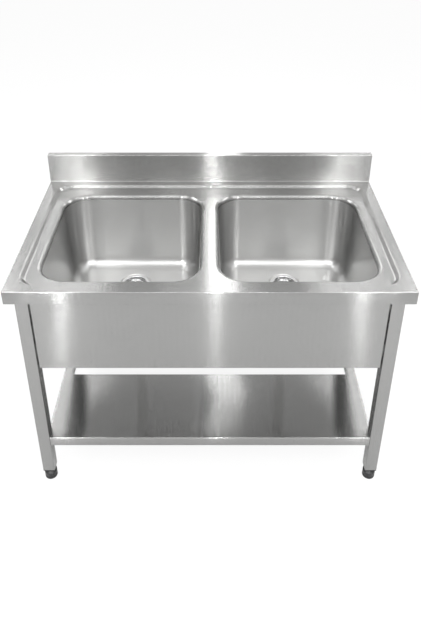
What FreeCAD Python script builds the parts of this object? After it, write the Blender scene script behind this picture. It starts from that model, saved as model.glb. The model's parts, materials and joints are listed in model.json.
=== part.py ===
"""Kitchen sink unit: worktop with two bowls, aprons, four legs on screw feet, and one shelf.

Millimetres. Origin on the floor under the centre of the unit, +X to the right, +Y to the wall, +Z up.
Each physical piece is written to parts/ as its own STEP file.
"""
import FreeCAD
import Part
import math
import os

V = FreeCAD.Vector
UP = V(0, 0, 1)
same_length = 0.01

# ---------------------------------------------------------------- driving dimensions
unit_depth = 700.0
worktop_height = 830.0          # top of the raised rim, with the feet wound in

# sheet metal
top_sheet = 1.5                 # worktop and bowls
panel_sheet = 1.2               # aprons, shelf and channels
fold_radius = 2.5               # outside radius of a fold in the worktop

# worktop
lip_height = 44.0
lip_return = 12.0
rim_side = 33.5                 # flat rim, from the outer edge to the top of the step
rim_front = 29.5
rim_rear = 24.0
step_drop = 9.0
step_run = 15.0
step_corner = 60.0
deck_bend = 11.0                # rounding from the recessed deck into each bowl
upstand_height = 110.0
upstand_return = 25.0
upstand_hook = 20.0

# bowls
bowl_width = 487.0              # between the walls at the rim
bowl_length = 510.0
bowl_gap = 60.0                 # between the two bowls' walls at the rim
bowl_side_margin = 83.0         # side edge of the worktop to the bowl's outer wall
bowl_setback = 70.0             # front edge of the worktop to the bowl's front wall
bowl_corner = 85.0
bowl_depth = 302.0              # top of the raised rim to the bowl's floor
bowl_draft = 13.0               # each wall leans in by this over its depth
bowl_floor_radius = 35.0
weld_depth = 16.0               # recessed deck down to the weld between collar and bowl

# wastes
waste_setback = 133.0           # rear wall of the bowl to the waste's centre
recess_radius = 56.0
recess_depth = 3.0
flange_radius = 51.0
flange_thickness = 2.0
cup_radius = 40.0               # bore of the strainer body
cup_wall = 2.0
cup_depth = 42.0
cup_edge = 1.0                  # rounding at the cup's mouth
seat_radius = 36.0              # bore below the ledge that the basket rests on
seat_depth = 14.0
spigot_radius = 24.0            # outside of the outlet
spigot_bore = 20.0
spigot_length = 32.0
gasket_thickness = 1.5
lower_gasket_thickness = 3.0
friction_ring_thickness = 1.5
lock_nut_height = 9.0
lock_nut_radius = 52.0
lock_nut_lugs = 6
lug_width = 8.0
lug_root = 4.0                  # lug's start inside the nut's edge
lug_reach = 5.0                 # lug's end beyond the nut's edge
friction_ring_step = 1.0        # ring and nut in from the lower gasket's edge
coupling_nut_radius = 29.0
coupling_nut_height = 18.0
coupling_nut_shoulder = 3.0
coupling_nut_ribs = 12
coupling_rib_radius = 2.0
coupling_rib_end = 1.0          # nut's end faces to the ends of its ribs
tailpiece_length = 110.0
tailpiece_radius = 20.0         # outside, the size that a trap takes
tailpiece_wall = 2.0
tailpiece_flange = 23.0
tailpiece_neck_step = 0.5       # thicker neck inside the nut, which stops a trap's sleeve
tailpiece_neck_length = 8.0
basket_rim_width = 2.0
basket_sheet = 1.2
basket_height = 20.0
basket_floor_radius = 26.0
wall_hole_radius = 2.6
wall_holes = 16
wall_hole_run = 6.0             # punches reach this far past the wall's slope, each way
floor_hole_radius = 2.2
floor_holes_inner = 8
floor_holes_outer = 14
floor_hole_margin = 5.2         # edge of the basket's floor to the outer ring of holes
floor_ring_pitch = 9.1          # outer to inner ring of holes
post_radius = 3.5
post_foot_reach = 3.0           # riveted foot of the post beyond its side
post_foot_thickness = 2.0
knob_radius = 9.0
knob_height = 5.0
knob_edge_run = 2.0
knob_edge_drop = 1.5
post_height = 15.0
seal_radius = 24.5
seal_thickness = 4.0

# frame
leg_size = 40.0
leg_wall = 1.5
leg_corner = 3.0
frame_inset = 24.0              # worktop edge to the outer faces of the legs, all round
apron_drop = 313.0              # top of the raised rim to the bottom of the aprons
apron_gap = 4.5                 # shadow gap between the front apron and each leg
apron_return = 15.0
apron_flange = 25.0
rear_rail_height = 110.0
rear_rail_setback = 6.0         # rear rail in from the legs' rear faces
leg_top_plate = 2.5
channel_height = 30.0
channel_lip_gap = 1.2
centre_channel_width = 34.0
centre_channel_height = 25.0
spacer_width = 18.0
spacer_height = 40.0
spacer_low = 70.0               # bottom of the apron to the lower spacers' centres
spacer_high = 240.0

# shelf
shelf_height = 206.0            # floor to the shelf's top
shelf_lip = 36.5
shelf_return = 12.0
shelf_overlap = 9.0             # the shelf's sides pass the legs' inner faces by this
shelf_clearance = 0.4           # cut-outs round the legs
slot_setback = 292.0            # front of the shelf to the service slot across it
slot_width = 45.0
slot_end_margin = 36.0          # shelf side to the end of the slot
slot_hem = 12.0
stiffener_width = 60.0
stiffener_foot = 12.0
stiffener_depth = 20.0
stiffener_end = 60.0            # shelf side to the end of the stiffener
bracket_leg = 25.0
bracket_sheet = 3.0
bracket_length = 30.0

# fasteners
screw_radius = 3.0
screw_head_radius = 5.5
screw_head_height = 3.5
nut_radius = 5.0
nut_height = 4.5
hole_clearance = 0.3
screw_stagger = 4.0             # leg's middle to its screws, so that crossing ones pass each other
bracket_hole_offset = 2.0       # middle of a bracket's leg to its hole
thread_end = 2.0                # stud below its nut
overrun = 1.0                   # cuts pass the faces that they open by this

# feet
leg_end_height = 46.5           # floor to the legs' lower ends, with the feet wound in
insert_flange = 4.0
insert_plug = 28.0
insert_clearance = 0.3
foot_radius = 21.0
foot_height = 34.0
foot_groove_height = 10.0
foot_groove_width = 2.0
foot_groove_depth = 1.6
foot_chamfer = 2.0
foot_shoulder_radius = 13.0
foot_shoulder_height = 6.0
spindle_radius = 5.0
spindle_socket = 12.0
spindle_engaged = 34.0
spindle_clearance = 0.1
hex_radius = 9.0
hex_sides = 6
foot_stop_gap = 0.3             # left between the hexagon and the insert, feet wound in

# ---------------------------------------------------------------- derived places
unit_width = 2 * bowl_width + bowl_gap + 2 * bowl_side_margin       # 1200
x_side = unit_width / 2
y_front = -unit_depth / 2
y_back = unit_depth / 2
y_wall = y_back - upstand_return            # front face of the upstand
z_rim = worktop_height
z_rim_under = z_rim - top_sheet
z_deck = z_rim - step_drop
z_deck_under = z_deck - top_sheet
z_lip = z_rim - lip_height
z_upstand = z_rim + upstand_height
z_floor = z_rim - bowl_depth

bowl_x = (bowl_gap + bowl_width) / 2
bowl_front = y_front + bowl_setback
bowl_back = bowl_front + bowl_length
waste_y = bowl_back - waste_setback

leg_out = x_side - frame_inset
leg_in = leg_out - leg_size
leg_front = y_front + frame_inset
leg_back = y_back - frame_inset
leg_x = (leg_out + leg_in) / 2
leg_y = leg_back - leg_size / 2
z_leg_top = z_deck_under - leg_top_plate
z_apron = z_rim - apron_drop
z_channel = z_rim_under - channel_height

shelf_side = leg_in + shelf_overlap
z_shelf_under = shelf_height - panel_sheet
z_shelf_low = shelf_height - shelf_lip
slot_end = shelf_side - slot_end_margin
slot_front = leg_front + slot_setback
slot_rear = slot_front + slot_width

z_recess = z_floor - recess_depth
z_flange = z_recess + gasket_thickness      # underside of the strainer's flange
z_waste_top = z_flange + flange_thickness
z_cup = z_waste_top - cup_depth             # inside bottom of the strainer body
z_spigot = z_cup - cup_wall - spigot_length
z_ledge = z_waste_top - seat_depth
waste_outer = cup_radius + cup_wall
z_basket = z_ledge + hole_clearance + basket_sheet - basket_height      # underside of the basket

z_insert = leg_end_height - insert_flange
hex_height = z_insert - foot_stop_gap - foot_height


# ---------------------------------------------------------------- shape helpers
def box(x0, x1, y0, y1, z0, z1):
    """Block between two corners."""
    return Part.makeBox(x1 - x0, y1 - y0, z1 - z0, V(x0, y0, z0))


def cylinder(radius, start, end):
    """Round bar from one point to another."""
    along = end - start
    return Part.makeCylinder(radius, along.Length, start, along)


def rounded_outline(x0, x1, y0, y1, radius, z):
    """Closed rectangle with round corners at height z."""
    corners = (
        (x1 - radius, y0 + radius, -90),
        (x1 - radius, y1 - radius, 0),
        (x0 + radius, y1 - radius, 90),
        (x0 + radius, y0 + radius, 180),
    )
    arcs = []
    for cx, cy, turn in corners:
        circle = Part.Circle(V(cx, cy, z), UP, radius)
        arcs.append(Part.Arc(circle, math.radians(turn), math.radians(turn + 90)).toShape())
    edges = []
    for index, arc in enumerate(arcs):
        following = arcs[(index + 1) % len(arcs)]
        edges.append(arc)
        edges.append(Part.makeLine(arc.Vertexes[-1].Point, following.Vertexes[0].Point))
    return Part.Wire(edges)


def between(lower, upper):
    """Solid with flat ends and straight sides between two outlines."""
    return Part.makeLoft([lower, upper], True, True)


def turned(profile, x, y):
    """Solid of revolution about the upright line at x, y, from (radius, height) points."""
    points = [V(x + radius, y, height) for radius, height in profile]
    face = Part.Face(Part.makePolygon(points + points[:1]))
    return face.revolve(V(x, y, 0), UP, 360)


def ring(outer, inner, z0, z1, x, y):
    """Flat ring between two heights."""
    return turned([(inner, z0), (outer, z0), (outer, z1), (inner, z1)], x, y)


def fuse_all(shapes):
    """One solid from pieces that meet, without the seams between them."""
    first = shapes[0]
    return first.fuse(shapes[1:]).removeSplitter()


def mirror_x(shape):
    """The same piece on the other side of the unit."""
    return shape.mirror(V(0, 0, 0), V(1, 0, 0))


def mirror_y(shape):
    """The same piece at the other end of the depth."""
    return shape.mirror(V(0, 0, 0), V(0, 1, 0))


def four_corners(shape):
    """Copies of one corner's piece at all four corners."""
    right = [shape, mirror_y(shape)]
    return right + [mirror_x(piece) for piece in right]


def edges_on(shape, test):
    """Edges whose every vertex and middle pass the test."""
    found = []
    for edge in shape.Edges:
        middle = edge.valueAt((edge.FirstParameter + edge.LastParameter) / 2)
        if all(test(point) for point in [vertex.Point for vertex in edge.Vertexes] + [middle]):
            found.append(edge)
    return found


def near(a, b):
    """True where two lengths are the same."""
    return abs(a - b) < same_length


def screw_and_nut(seat, direction, grip):
    """Pan head screw whose head sits on a face, with a nut behind the clamped sheets."""
    along = V(*direction)
    shank_end = seat + along * (grip + nut_height + 2 * screw_radius)
    shank = cylinder(screw_radius, seat, shank_end)
    head = cylinder(screw_head_radius, seat - along * screw_head_height, seat)
    nut_start = seat + along * grip
    nut = cylinder(nut_radius, nut_start, nut_start + along * nut_height)
    bore = cylinder(screw_radius + hole_clearance, nut_start, nut_start + along * nut_height)
    return [head.fuse(shank).removeSplitter(), nut.cut(bore)]


def screw_hole(seat, direction, grip):
    """Clearance hole for a screw through the sheets that it clamps."""
    along = V(*direction)
    end = seat + along * (grip + overrun)
    return cylinder(screw_radius + hole_clearance, seat - along * overrun, end)


# ---------------------------------------------------------------- fastener places
spacer_heights = (z_apron + spacer_low, z_apron + spacer_high)
apron_screw_y = leg_front + leg_size / 2 - screw_stagger
apron_screw_grip = panel_sheet + apron_gap + leg_wall
apron_screw_seats = [V(leg_in - apron_gap - panel_sheet, apron_screw_y, z) for z in spacer_heights]

side_screw_x = leg_in + leg_size / 2 + screw_stagger
side_screw_grip = panel_sheet + leg_wall
side_screw_seats = []
for seat_z in spacer_heights:
    side_screw_seats.append(V(side_screw_x, leg_y - leg_size / 2 - panel_sheet, seat_z))

rail_screw_z = z_rim_under - rear_rail_height / 2
rail_screw_seat = V(leg_in - panel_sheet, leg_y, rail_screw_z)

shelf_screw_z = z_shelf_under - bracket_leg / 2 - bracket_hole_offset
shelf_screw_seat = V(leg_in - bracket_sheet, leg_y, shelf_screw_z)
shelf_screw_grip = bracket_sheet + leg_wall
stud_x = leg_in - bracket_leg / 2 - bracket_hole_offset


# ---------------------------------------------------------------- worktop and bowls
def step_outline(grow, z, low):
    """Outline of the step: its top edge, or its foot where low is true, grown by grow."""
    inward = (step_run if low else 0) - grow
    return rounded_outline(
        -x_side + rim_side + inward,
        x_side - rim_side - inward,
        y_front + rim_front + inward,
        y_wall - rim_rear - inward,
        step_corner - inward,
        z,
    )


def bowl_outline(side, depth, grow):
    """Outline of one bowl at a depth below the recessed deck, grown by grow."""
    lean = bowl_draft * depth / (z_deck - z_floor)
    half = bowl_width / 2 - lean + grow
    return rounded_outline(
        side * bowl_x - half,
        side * bowl_x + half,
        bowl_front + lean - grow,
        bowl_back - lean + grow,
        bowl_corner - lean + grow,
        z_deck - depth,
    )


def deck_void(grow, top, deck, bend):
    """Space over the recessed deck with a round-edged mouth down each bowl."""
    void = between(step_outline(grow, deck, True), step_outline(grow, top, False))
    for side in (-1, 1):
        mouth = between(
            bowl_outline(side, weld_depth, grow),
            bowl_outline(side, z_deck - deck - overrun, grow),
        )
        void = void.fuse(mouth)
    void = void.removeSplitter()
    wall_x = x_side - rim_side - step_run - bend / 2

    def on_mouth(point):
        inside = abs(point.x) < wall_x and y_front + rim_front + step_run + overrun < point.y
        return near(point.z, deck) and inside and point.y < y_wall - rim_rear - step_run - overrun

    return void.makeFillet(bend, edges_on(void, on_mouth))


def worktop():
    """One sheet: raised rim, step, recessed deck with two mouths, lips, and upstand."""
    block = box(-x_side, x_side, y_front, y_wall + top_sheet, z_lip, z_rim)

    def outer_fold(point):
        at_side = near(abs(point.x), x_side)
        at_front = near(point.y, y_front)
        return (at_side and at_front) or (near(point.z, z_rim) and (at_side or at_front))

    block = block.makeFillet(fold_radius, edges_on(block, outer_fold))
    inner_x = x_side - top_sheet
    inner_front = y_front + top_sheet
    under = box(-inner_x, inner_x, inner_front, y_wall + 2 * top_sheet, z_lip + top_sheet, z_rim_under)

    def inner_fold(point):
        at_side = near(abs(point.x), inner_x)
        at_front = near(point.y, inner_front)
        return (at_side and at_front) or (near(point.z, z_rim_under) and (at_side or at_front))

    under = under.makeFillet(fold_radius - top_sheet, edges_on(under, inner_fold))
    open_x = inner_x - lip_return
    open_front = inner_front + lip_return
    below = box(-open_x, open_x, open_front, y_wall + 2 * top_sheet, z_lip - overrun, z_lip + 2 * top_sheet)
    slope = math.atan2(step_drop, step_run)
    grow = top_sheet * math.tan(slope / 2)
    upper_void = deck_void(0, z_rim, z_deck, deck_bend)
    sheet_body = deck_void(grow, z_rim_under, z_deck_under, deck_bend - top_sheet)
    cavity = under.fuse(below).cut(sheet_body)
    for side in (-1, 1):
        collar = between(bowl_outline(side, weld_depth, top_sheet), bowl_outline(side, step_drop, top_sheet))
        cavity = cavity.cut(collar)
    top = block.cut(cavity).cut(upper_void)
    return fuse_all([top, upstand()])


def upstand():
    """Rear upstand with its top return and the hook behind, and closed ends."""
    back = y_wall + top_sheet
    wall = box(-x_side, x_side, y_wall, back, z_rim_under, z_upstand)
    cap = box(-x_side, x_side, y_wall, y_back, z_upstand - top_sheet, z_upstand)
    hook = box(-x_side, x_side, y_back - top_sheet, y_back, z_upstand - upstand_hook, z_upstand)
    end = box(x_side - top_sheet, x_side, y_wall, y_back, z_rim_under, z_upstand)
    shape = fuse_all([wall, cap, hook, end, mirror_x(end)])

    def top_fold(point):
        return near(point.z, z_upstand) and (near(point.y, y_wall) or near(point.y, y_back))

    return shape.makeFillet(fold_radius, edges_on(shape, top_fold))


def bowl(side):
    """Deep-drawn bowl with leaning walls, round floor edge and a recessed waste hole."""
    centre = V(side * bowl_x, waste_y, 0)
    solids = []
    for grow in (top_sheet, 0):
        floor_z = z_floor - grow
        depth = z_deck - floor_z
        raw = between(bowl_outline(side, depth, grow), bowl_outline(side, weld_depth, grow))

        def on_floor(point):
            return near(point.z, floor_z)

        raw = raw.makeFillet(bowl_floor_radius + grow, edges_on(raw, on_floor))
        dish = cylinder(
            recess_radius + grow,
            V(centre.x, centre.y, floor_z - recess_depth),
            V(centre.x, centre.y, floor_z + 2 * top_sheet),
        )
        solids.append(raw.fuse(dish).removeSplitter())
    shell = solids[0].cut(solids[1])
    hole_low = V(centre.x, centre.y, z_recess - 2 * top_sheet)
    hole_high = V(centre.x, centre.y, z_floor)
    return shell.cut(cylinder(waste_outer + hole_clearance, hole_low, hole_high))


# ---------------------------------------------------------------- wastes
def strainer_body(side):
    """Flanged cup with a ledge for the basket and a threaded outlet."""
    x = side * bowl_x
    outside = waste_outer
    outlet = z_spigot
    profile = [
        (spigot_bore, outlet),
        (spigot_radius, outlet),
        (spigot_radius, z_cup - cup_wall),
        (outside, z_cup - cup_wall),
        (outside, z_flange),
        (flange_radius, z_flange),
        (flange_radius, z_flange + flange_thickness / 2),
        (flange_radius - flange_thickness, z_waste_top),
        (cup_radius + cup_edge, z_waste_top),
        (cup_radius, z_waste_top - cup_edge),
        (cup_radius, z_ledge),
        (seat_radius, z_ledge),
        (seat_radius, z_cup),
        (spigot_bore, z_cup),
    ]
    return turned(profile, x, waste_y)


def flange_gasket(side):
    """Rubber ring between the flange and the bowl."""
    inner = waste_outer + hole_clearance
    return ring(flange_radius, inner, z_recess, z_flange, side * bowl_x, waste_y)


def lower_rings(side):
    """Lower gasket, friction ring and lock nut, from the top down."""
    x = side * bowl_x
    inner = waste_outer + hole_clearance
    z0 = z_recess - top_sheet
    z1 = z0 - lower_gasket_thickness
    z2 = z1 - friction_ring_thickness
    z3 = z2 - lock_nut_height
    gasket = ring(lock_nut_radius, inner, z1, z0, x, waste_y)
    nut_edge = lock_nut_radius - friction_ring_step
    friction = ring(nut_edge, inner, z2, z1, x, waste_y)
    lug = box(nut_edge - lug_root, nut_edge + lug_reach, -lug_width / 2, lug_width / 2, z3, z2)
    nut = ring(nut_edge, inner, z3, z2, 0, 0)
    pieces = [nut]
    for index in range(lock_nut_lugs):
        turned_lug = lug.copy()
        turned_lug.rotate(V(0, 0, 0), UP, index * 360 / lock_nut_lugs)
        pieces.append(turned_lug)
    nut = fuse_all(pieces)
    nut.translate(V(x, waste_y, 0))
    return gasket, friction, nut


def basket(side):
    """Perforated basket with a rolled rim that rests on the ledge."""
    x = side * bowl_x
    rim = cup_radius - basket_rim_width / 2
    wall_top = seat_radius - basket_rim_width
    low = z_basket
    top = low + basket_height
    outside = [
        (post_radius + hole_clearance, low),
        (basket_floor_radius, low),
        (wall_top, top - basket_sheet),
        (rim, top - basket_sheet),
        (rim, top),
        (wall_top - basket_sheet, top),
        (basket_floor_radius - basket_sheet / 2, low + basket_sheet),
        (post_radius + hole_clearance, low + basket_sheet),
    ]
    shape = turned(outside, x, waste_y)
    centre = V(x, waste_y, 0)
    cutters = []
    outer_ring = basket_floor_radius - floor_hole_margin
    inner_turns = [2 * math.pi * index / floor_holes_inner for index in range(floor_holes_inner)]
    outer_turns = [2 * math.pi * index / floor_holes_outer for index in range(floor_holes_outer)]
    for radius, turns in ((outer_ring - floor_ring_pitch, inner_turns), (outer_ring, outer_turns)):
        for turn in turns:
            spot = centre + V(radius * math.cos(turn), radius * math.sin(turn), low - overrun)
            cutters.append(cylinder(floor_hole_radius, spot, spot + UP * (basket_sheet + 2 * overrun)))
    middle = (low + top) / 2
    for index in range(wall_holes):
        turn = 2 * math.pi * (index + 0.5) / wall_holes
        out = V(math.cos(turn), math.sin(turn), 0)
        start = centre + out * (basket_floor_radius - wall_hole_run) + V(0, 0, middle)
        end = centre + out * (wall_top + wall_hole_run) + V(0, 0, middle)
        cutters.append(cylinder(wall_hole_radius, start, end))
    return shape.cut(cutters)


def basket_knob(side):
    """Post through the basket's floor with a round knob on top."""
    seal_low = z_basket - seal_thickness
    knob_low = z_basket + post_height
    knob_top = knob_low + knob_height
    profile = [
        (0, seal_low - post_foot_thickness),
        (post_radius + post_foot_reach, seal_low - post_foot_thickness),
        (post_radius + post_foot_reach, seal_low),
        (post_radius, seal_low),
        (post_radius, knob_low),
        (knob_radius - knob_edge_run, knob_low),
        (knob_radius, knob_low + knob_edge_drop),
        (knob_radius, knob_top - knob_edge_drop),
        (knob_radius - knob_edge_run, knob_top),
        (0, knob_top),
    ]
    return turned(profile, side * bowl_x, waste_y)


def basket_seal(side):
    """Rubber disc under the basket that closes the outlet."""
    profile = [
        (post_radius + hole_clearance, z_basket - seal_thickness),
        (seal_radius - seal_thickness / 2, z_basket - seal_thickness),
        (seal_radius, z_basket - seal_thickness / 2),
        (seal_radius, z_basket),
        (post_radius + hole_clearance, z_basket),
    ]
    return turned(profile, side * bowl_x, waste_y)


def tailpiece(side):
    """Outlet tube whose flange is clamped under the spigot."""
    shoulder = z_spigot - tailpiece_wall
    neck = tailpiece_radius + tailpiece_neck_step
    profile = [
        (tailpiece_radius - tailpiece_wall, z_spigot - tailpiece_length),
        (tailpiece_radius, z_spigot - tailpiece_length),
        (tailpiece_radius, shoulder - tailpiece_neck_length),
        (neck, shoulder - tailpiece_neck_length),
        (neck, shoulder),
        (tailpiece_flange, shoulder),
        (tailpiece_flange, z_spigot),
        (tailpiece_radius - tailpiece_wall, z_spigot),
    ]
    return turned(profile, side * bowl_x, waste_y)


def coupling_nut(side):
    """Ribbed plastic nut that pulls the tailpiece up to the spigot."""
    shoulder = z_spigot - tailpiece_wall
    low = shoulder - coupling_nut_shoulder
    inner = tailpiece_radius + tailpiece_neck_step + hole_clearance
    profile = [
        (inner, low),
        (coupling_nut_radius, low),
        (coupling_nut_radius, low + coupling_nut_height),
        (spigot_radius + hole_clearance, low + coupling_nut_height),
        (spigot_radius + hole_clearance, shoulder),
        (inner, shoulder),
    ]
    nut = turned(profile, 0, 0)
    rib_low = V(coupling_nut_radius, 0, low + coupling_rib_end)
    rib_high = V(coupling_nut_radius, 0, low + coupling_nut_height - coupling_rib_end)
    rib = cylinder(coupling_rib_radius, rib_low, rib_high)
    pieces = [nut]
    for index in range(coupling_nut_ribs):
        copy = rib.copy()
        copy.rotate(V(0, 0, 0), UP, index * 360 / coupling_nut_ribs)
        pieces.append(copy)
    nut = fuse_all(pieces)
    nut.translate(V(side * bowl_x, waste_y, 0))
    return nut


# ---------------------------------------------------------------- frame
def leg():
    """Rear right leg: square tube from the foot insert to the top plate."""
    tube = box(leg_in, leg_out, leg_y - leg_size / 2, leg_back, leg_end_height, z_leg_top)

    def upright(point):
        return near(abs(point.x - leg_x), leg_size / 2) and near(abs(point.y - leg_y), leg_size / 2)

    tube = tube.makeFillet(leg_corner, edges_on(tube, upright))
    half = leg_size / 2 - leg_wall
    bore_low = leg_end_height - overrun
    bore = box(leg_x - half, leg_x + half, leg_y - half, leg_y + half, bore_low, z_leg_top + overrun)

    def bore_upright(point):
        return near(abs(point.x - leg_x), half) and near(abs(point.y - leg_y), half)

    bore = bore.makeFillet(leg_corner - leg_wall, edges_on(bore, bore_upright))
    tube = tube.cut(bore)
    holes = [screw_hole(seat, (0, 1, 0), side_screw_grip) for seat in side_screw_seats]
    holes.append(screw_hole(shelf_screw_seat, (1, 0, 0), shelf_screw_grip))
    return tube.cut(holes)


def rear_leg():
    """Leg with the rear rail's screw hole."""
    return leg().cut(screw_hole(rail_screw_seat, (1, 0, 0), panel_sheet + leg_wall))


def front_leg():
    """Leg with the front apron's screw holes."""
    shape = mirror_y(leg())
    return shape.cut([screw_hole(seat, (1, 0, 0), apron_screw_grip) for seat in apron_screw_seats])


def leg_top_plates():
    """Plates that close the legs and carry the deck."""
    plate = box(leg_in, leg_out, leg_y - leg_size / 2, leg_back, z_leg_top, z_deck_under)
    return four_corners(plate)


def front_apron():
    """Front panel with a bottom return and a flange at each end."""
    end = leg_in - apron_gap
    face = box(-end, end, leg_front, leg_front + panel_sheet, z_apron, z_rim_under)
    bottom = box(-end, end, leg_front, leg_front + apron_return, z_apron, z_apron + panel_sheet)
    flange_top = z_leg_top - channel_lip_gap
    flange = box(end - panel_sheet, end, leg_front, leg_front + apron_flange, z_apron, flange_top)
    panel = fuse_all([face, bottom, flange, mirror_x(flange)])
    holes = [screw_hole(seat, (1, 0, 0), panel_sheet) for seat in apron_screw_seats]
    return panel.cut(holes + [mirror_x(hole) for hole in holes])


def side_apron():
    """Right side panel between the legs, with a bottom return and end flanges."""
    end = leg_back - leg_size
    low = leg_out - panel_sheet
    face = box(low, leg_out, -end, end, z_apron, z_rim_under)
    bottom = box(leg_out - apron_return, leg_out, -end, end, z_apron, z_apron + panel_sheet)
    flange_top = z_leg_top - channel_lip_gap
    flange = box(leg_out - apron_flange, leg_out, end - panel_sheet, end, z_apron, flange_top)
    panel = fuse_all([face, bottom, flange, mirror_y(flange)])
    holes = [screw_hole(seat, (0, 1, 0), panel_sheet) for seat in side_screw_seats]
    return panel.cut(holes + [mirror_y(hole) for hole in holes])


def rear_rail():
    """Rail between the rear legs, open below it for the pipes."""
    y1 = leg_back - rear_rail_setback
    low = z_rim_under - rear_rail_height
    face = box(-leg_in, leg_in, y1 - panel_sheet, y1, low, z_rim_under)
    bottom = box(-leg_in, leg_in, y1 - apron_return, y1, low, low + panel_sheet)
    flange_top = z_leg_top - channel_lip_gap
    flange = box(leg_in - panel_sheet, leg_in, y1 - apron_flange, y1, low, flange_top)
    rail = fuse_all([face, bottom, flange, mirror_x(flange)])
    hole = screw_hole(rail_screw_seat, (1, 0, 0), panel_sheet)
    return rail.cut([hole, mirror_x(hole)])


def channel(x0, x1, y0, y1, z0, z1, along_x):
    """Folded channel, open below, its web at the top."""
    outer = box(x0, x1, y0, y1, z0, z1)
    web = z1 - panel_sheet
    if along_x:
        inner = box(x0 - overrun, x1 + overrun, y0 + panel_sheet, y1 - panel_sheet, z0 - overrun, web)
    else:
        inner = box(x0 + panel_sheet, x1 - panel_sheet, y0 - overrun, y1 + overrun, z0 - overrun, web)
    return outer.cut(inner)


def front_channel():
    """Stiffener behind the front lip."""
    y0 = y_front + top_sheet + channel_lip_gap
    return channel(-leg_out, leg_out, y0, leg_front, z_channel, z_rim_under, True)


def side_channel():
    """Stiffener behind the right lip."""
    x1 = x_side - top_sheet - channel_lip_gap
    return channel(leg_out, x1, leg_front, y_wall - channel_lip_gap, z_channel, z_rim_under, False)


def rear_channel():
    """Stiffener under the rear rim, in front of the rear rail."""
    y1 = leg_back - rear_rail_setback - panel_sheet
    y0 = y_wall - rim_rear + channel_lip_gap
    end = leg_in - apron_flange / 2
    return channel(-end, end, y0, y1, z_channel, z_rim_under, True)


def centre_channel():
    """Stiffener under the divider between the bowls."""
    half = centre_channel_width / 2
    y0 = y_front + rim_front + step_run + channel_lip_gap
    y1 = y_wall - rim_rear - step_run - channel_lip_gap
    return channel(-half, half, y0, y1, z_deck_under - centre_channel_height, z_deck_under, False)


def apron_spacers():
    """Blocks that hold the shadow gap between front apron and legs."""
    blocks = []
    for seat in apron_screw_seats:
        y0 = seat.y - spacer_width / 2
        z0 = seat.z - spacer_height / 2
        block = box(leg_in - apron_gap, leg_in, y0, y0 + spacer_width, z0, z0 + spacer_height)
        block = block.cut(screw_hole(seat, (1, 0, 0), apron_screw_grip))
        blocks += [block, mirror_x(block)]
    return blocks


def apron_screws():
    """Screws and nuts of the front apron, side aprons and rear rail."""
    pieces = []
    for seat in apron_screw_seats:
        for piece in screw_and_nut(seat, (1, 0, 0), apron_screw_grip):
            pieces += [piece, mirror_x(piece)]
    for seat in side_screw_seats:
        for piece in screw_and_nut(seat, (0, 1, 0), side_screw_grip):
            pieces += four_corners(piece)
    for piece in screw_and_nut(rail_screw_seat, (1, 0, 0), panel_sheet + leg_wall):
        pieces += [piece, mirror_x(piece)]
    return pieces


# ---------------------------------------------------------------- shelf
def shelf():
    """Folded pan with cut-outs round the legs and a hemmed service slot across it."""
    notch_x = leg_in - shelf_clearance
    notch_y = leg_back - leg_size - shelf_clearance
    plate = box(-shelf_side, shelf_side, -leg_back, leg_back, z_shelf_under, shelf_height)
    side = box(shelf_side - panel_sheet, shelf_side, -notch_y, notch_y, z_shelf_low, shelf_height)
    side_return = box(
        shelf_side - shelf_return, shelf_side, -notch_y, notch_y, z_shelf_low, z_shelf_low + panel_sheet
    )
    lip = box(-notch_x, notch_x, leg_back - panel_sheet, leg_back, z_shelf_low, shelf_height)
    lip_back = box(
        -notch_x, notch_x, leg_back - shelf_return, leg_back, z_shelf_low, z_shelf_low + panel_sheet
    )
    pieces = [plate, side, mirror_x(side), side_return, mirror_x(side_return)]
    pieces += [lip, mirror_y(lip), lip_back, mirror_y(lip_back)]
    hem = box(
        -slot_end - panel_sheet,
        slot_end + panel_sheet,
        slot_front - panel_sheet,
        slot_rear + panel_sheet,
        shelf_height - slot_hem,
        shelf_height,
    )
    pan = fuse_all(pieces + [hem])
    above = shelf_height + overrun
    slot = box(-slot_end, slot_end, slot_front, slot_rear, shelf_height - slot_hem - overrun, above)
    outside_x = shelf_side + overrun
    notch = box(notch_x, outside_x, notch_y, leg_back + overrun, z_shelf_low - overrun, above)
    return pan.cut([slot] + four_corners(notch))


def shelf_stiffener():
    """Hat-shaped rib under the rear half of the shelf."""
    y_mid = (slot_rear + leg_back) / 2
    end = shelf_side - stiffener_end
    half = stiffener_width / 2
    low = z_shelf_under - stiffener_depth
    hat = box(-end, end, y_mid - half, y_mid + half, low, z_shelf_under)
    inner = half - panel_sheet
    past_end = end + overrun
    above = z_shelf_under + overrun
    hollow = box(-past_end, past_end, y_mid - inner, y_mid + inner, low + panel_sheet, above)
    foot_z = z_shelf_under - panel_sheet
    reach = half + stiffener_foot
    foot = box(-end, end, y_mid - reach, y_mid - inner, foot_z, z_shelf_under)
    other = box(-end, end, y_mid + inner, y_mid + reach, foot_z, z_shelf_under)
    return fuse_all([hat.cut(hollow), foot, other])


def shelf_brackets():
    """Angles on the legs' inner faces that carry the shelf."""
    y0 = leg_y - bracket_length / 2
    y1 = leg_y + bracket_length / 2
    upright = box(leg_in - bracket_sheet, leg_in, y0, y1, z_shelf_under - bracket_leg, z_shelf_under)
    level = box(leg_in - bracket_leg, leg_in, y0, y1, z_shelf_under - bracket_sheet, z_shelf_under)
    angle = fuse_all([upright, level]).cut(screw_hole(shelf_screw_seat, (1, 0, 0), bracket_sheet))
    stud_hole = cylinder(
        screw_radius + hole_clearance,
        V(stud_x, leg_y, z_shelf_under - bracket_sheet - overrun),
        V(stud_x, leg_y, z_shelf_under + overrun),
    )
    return four_corners(angle.cut(stud_hole))


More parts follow.
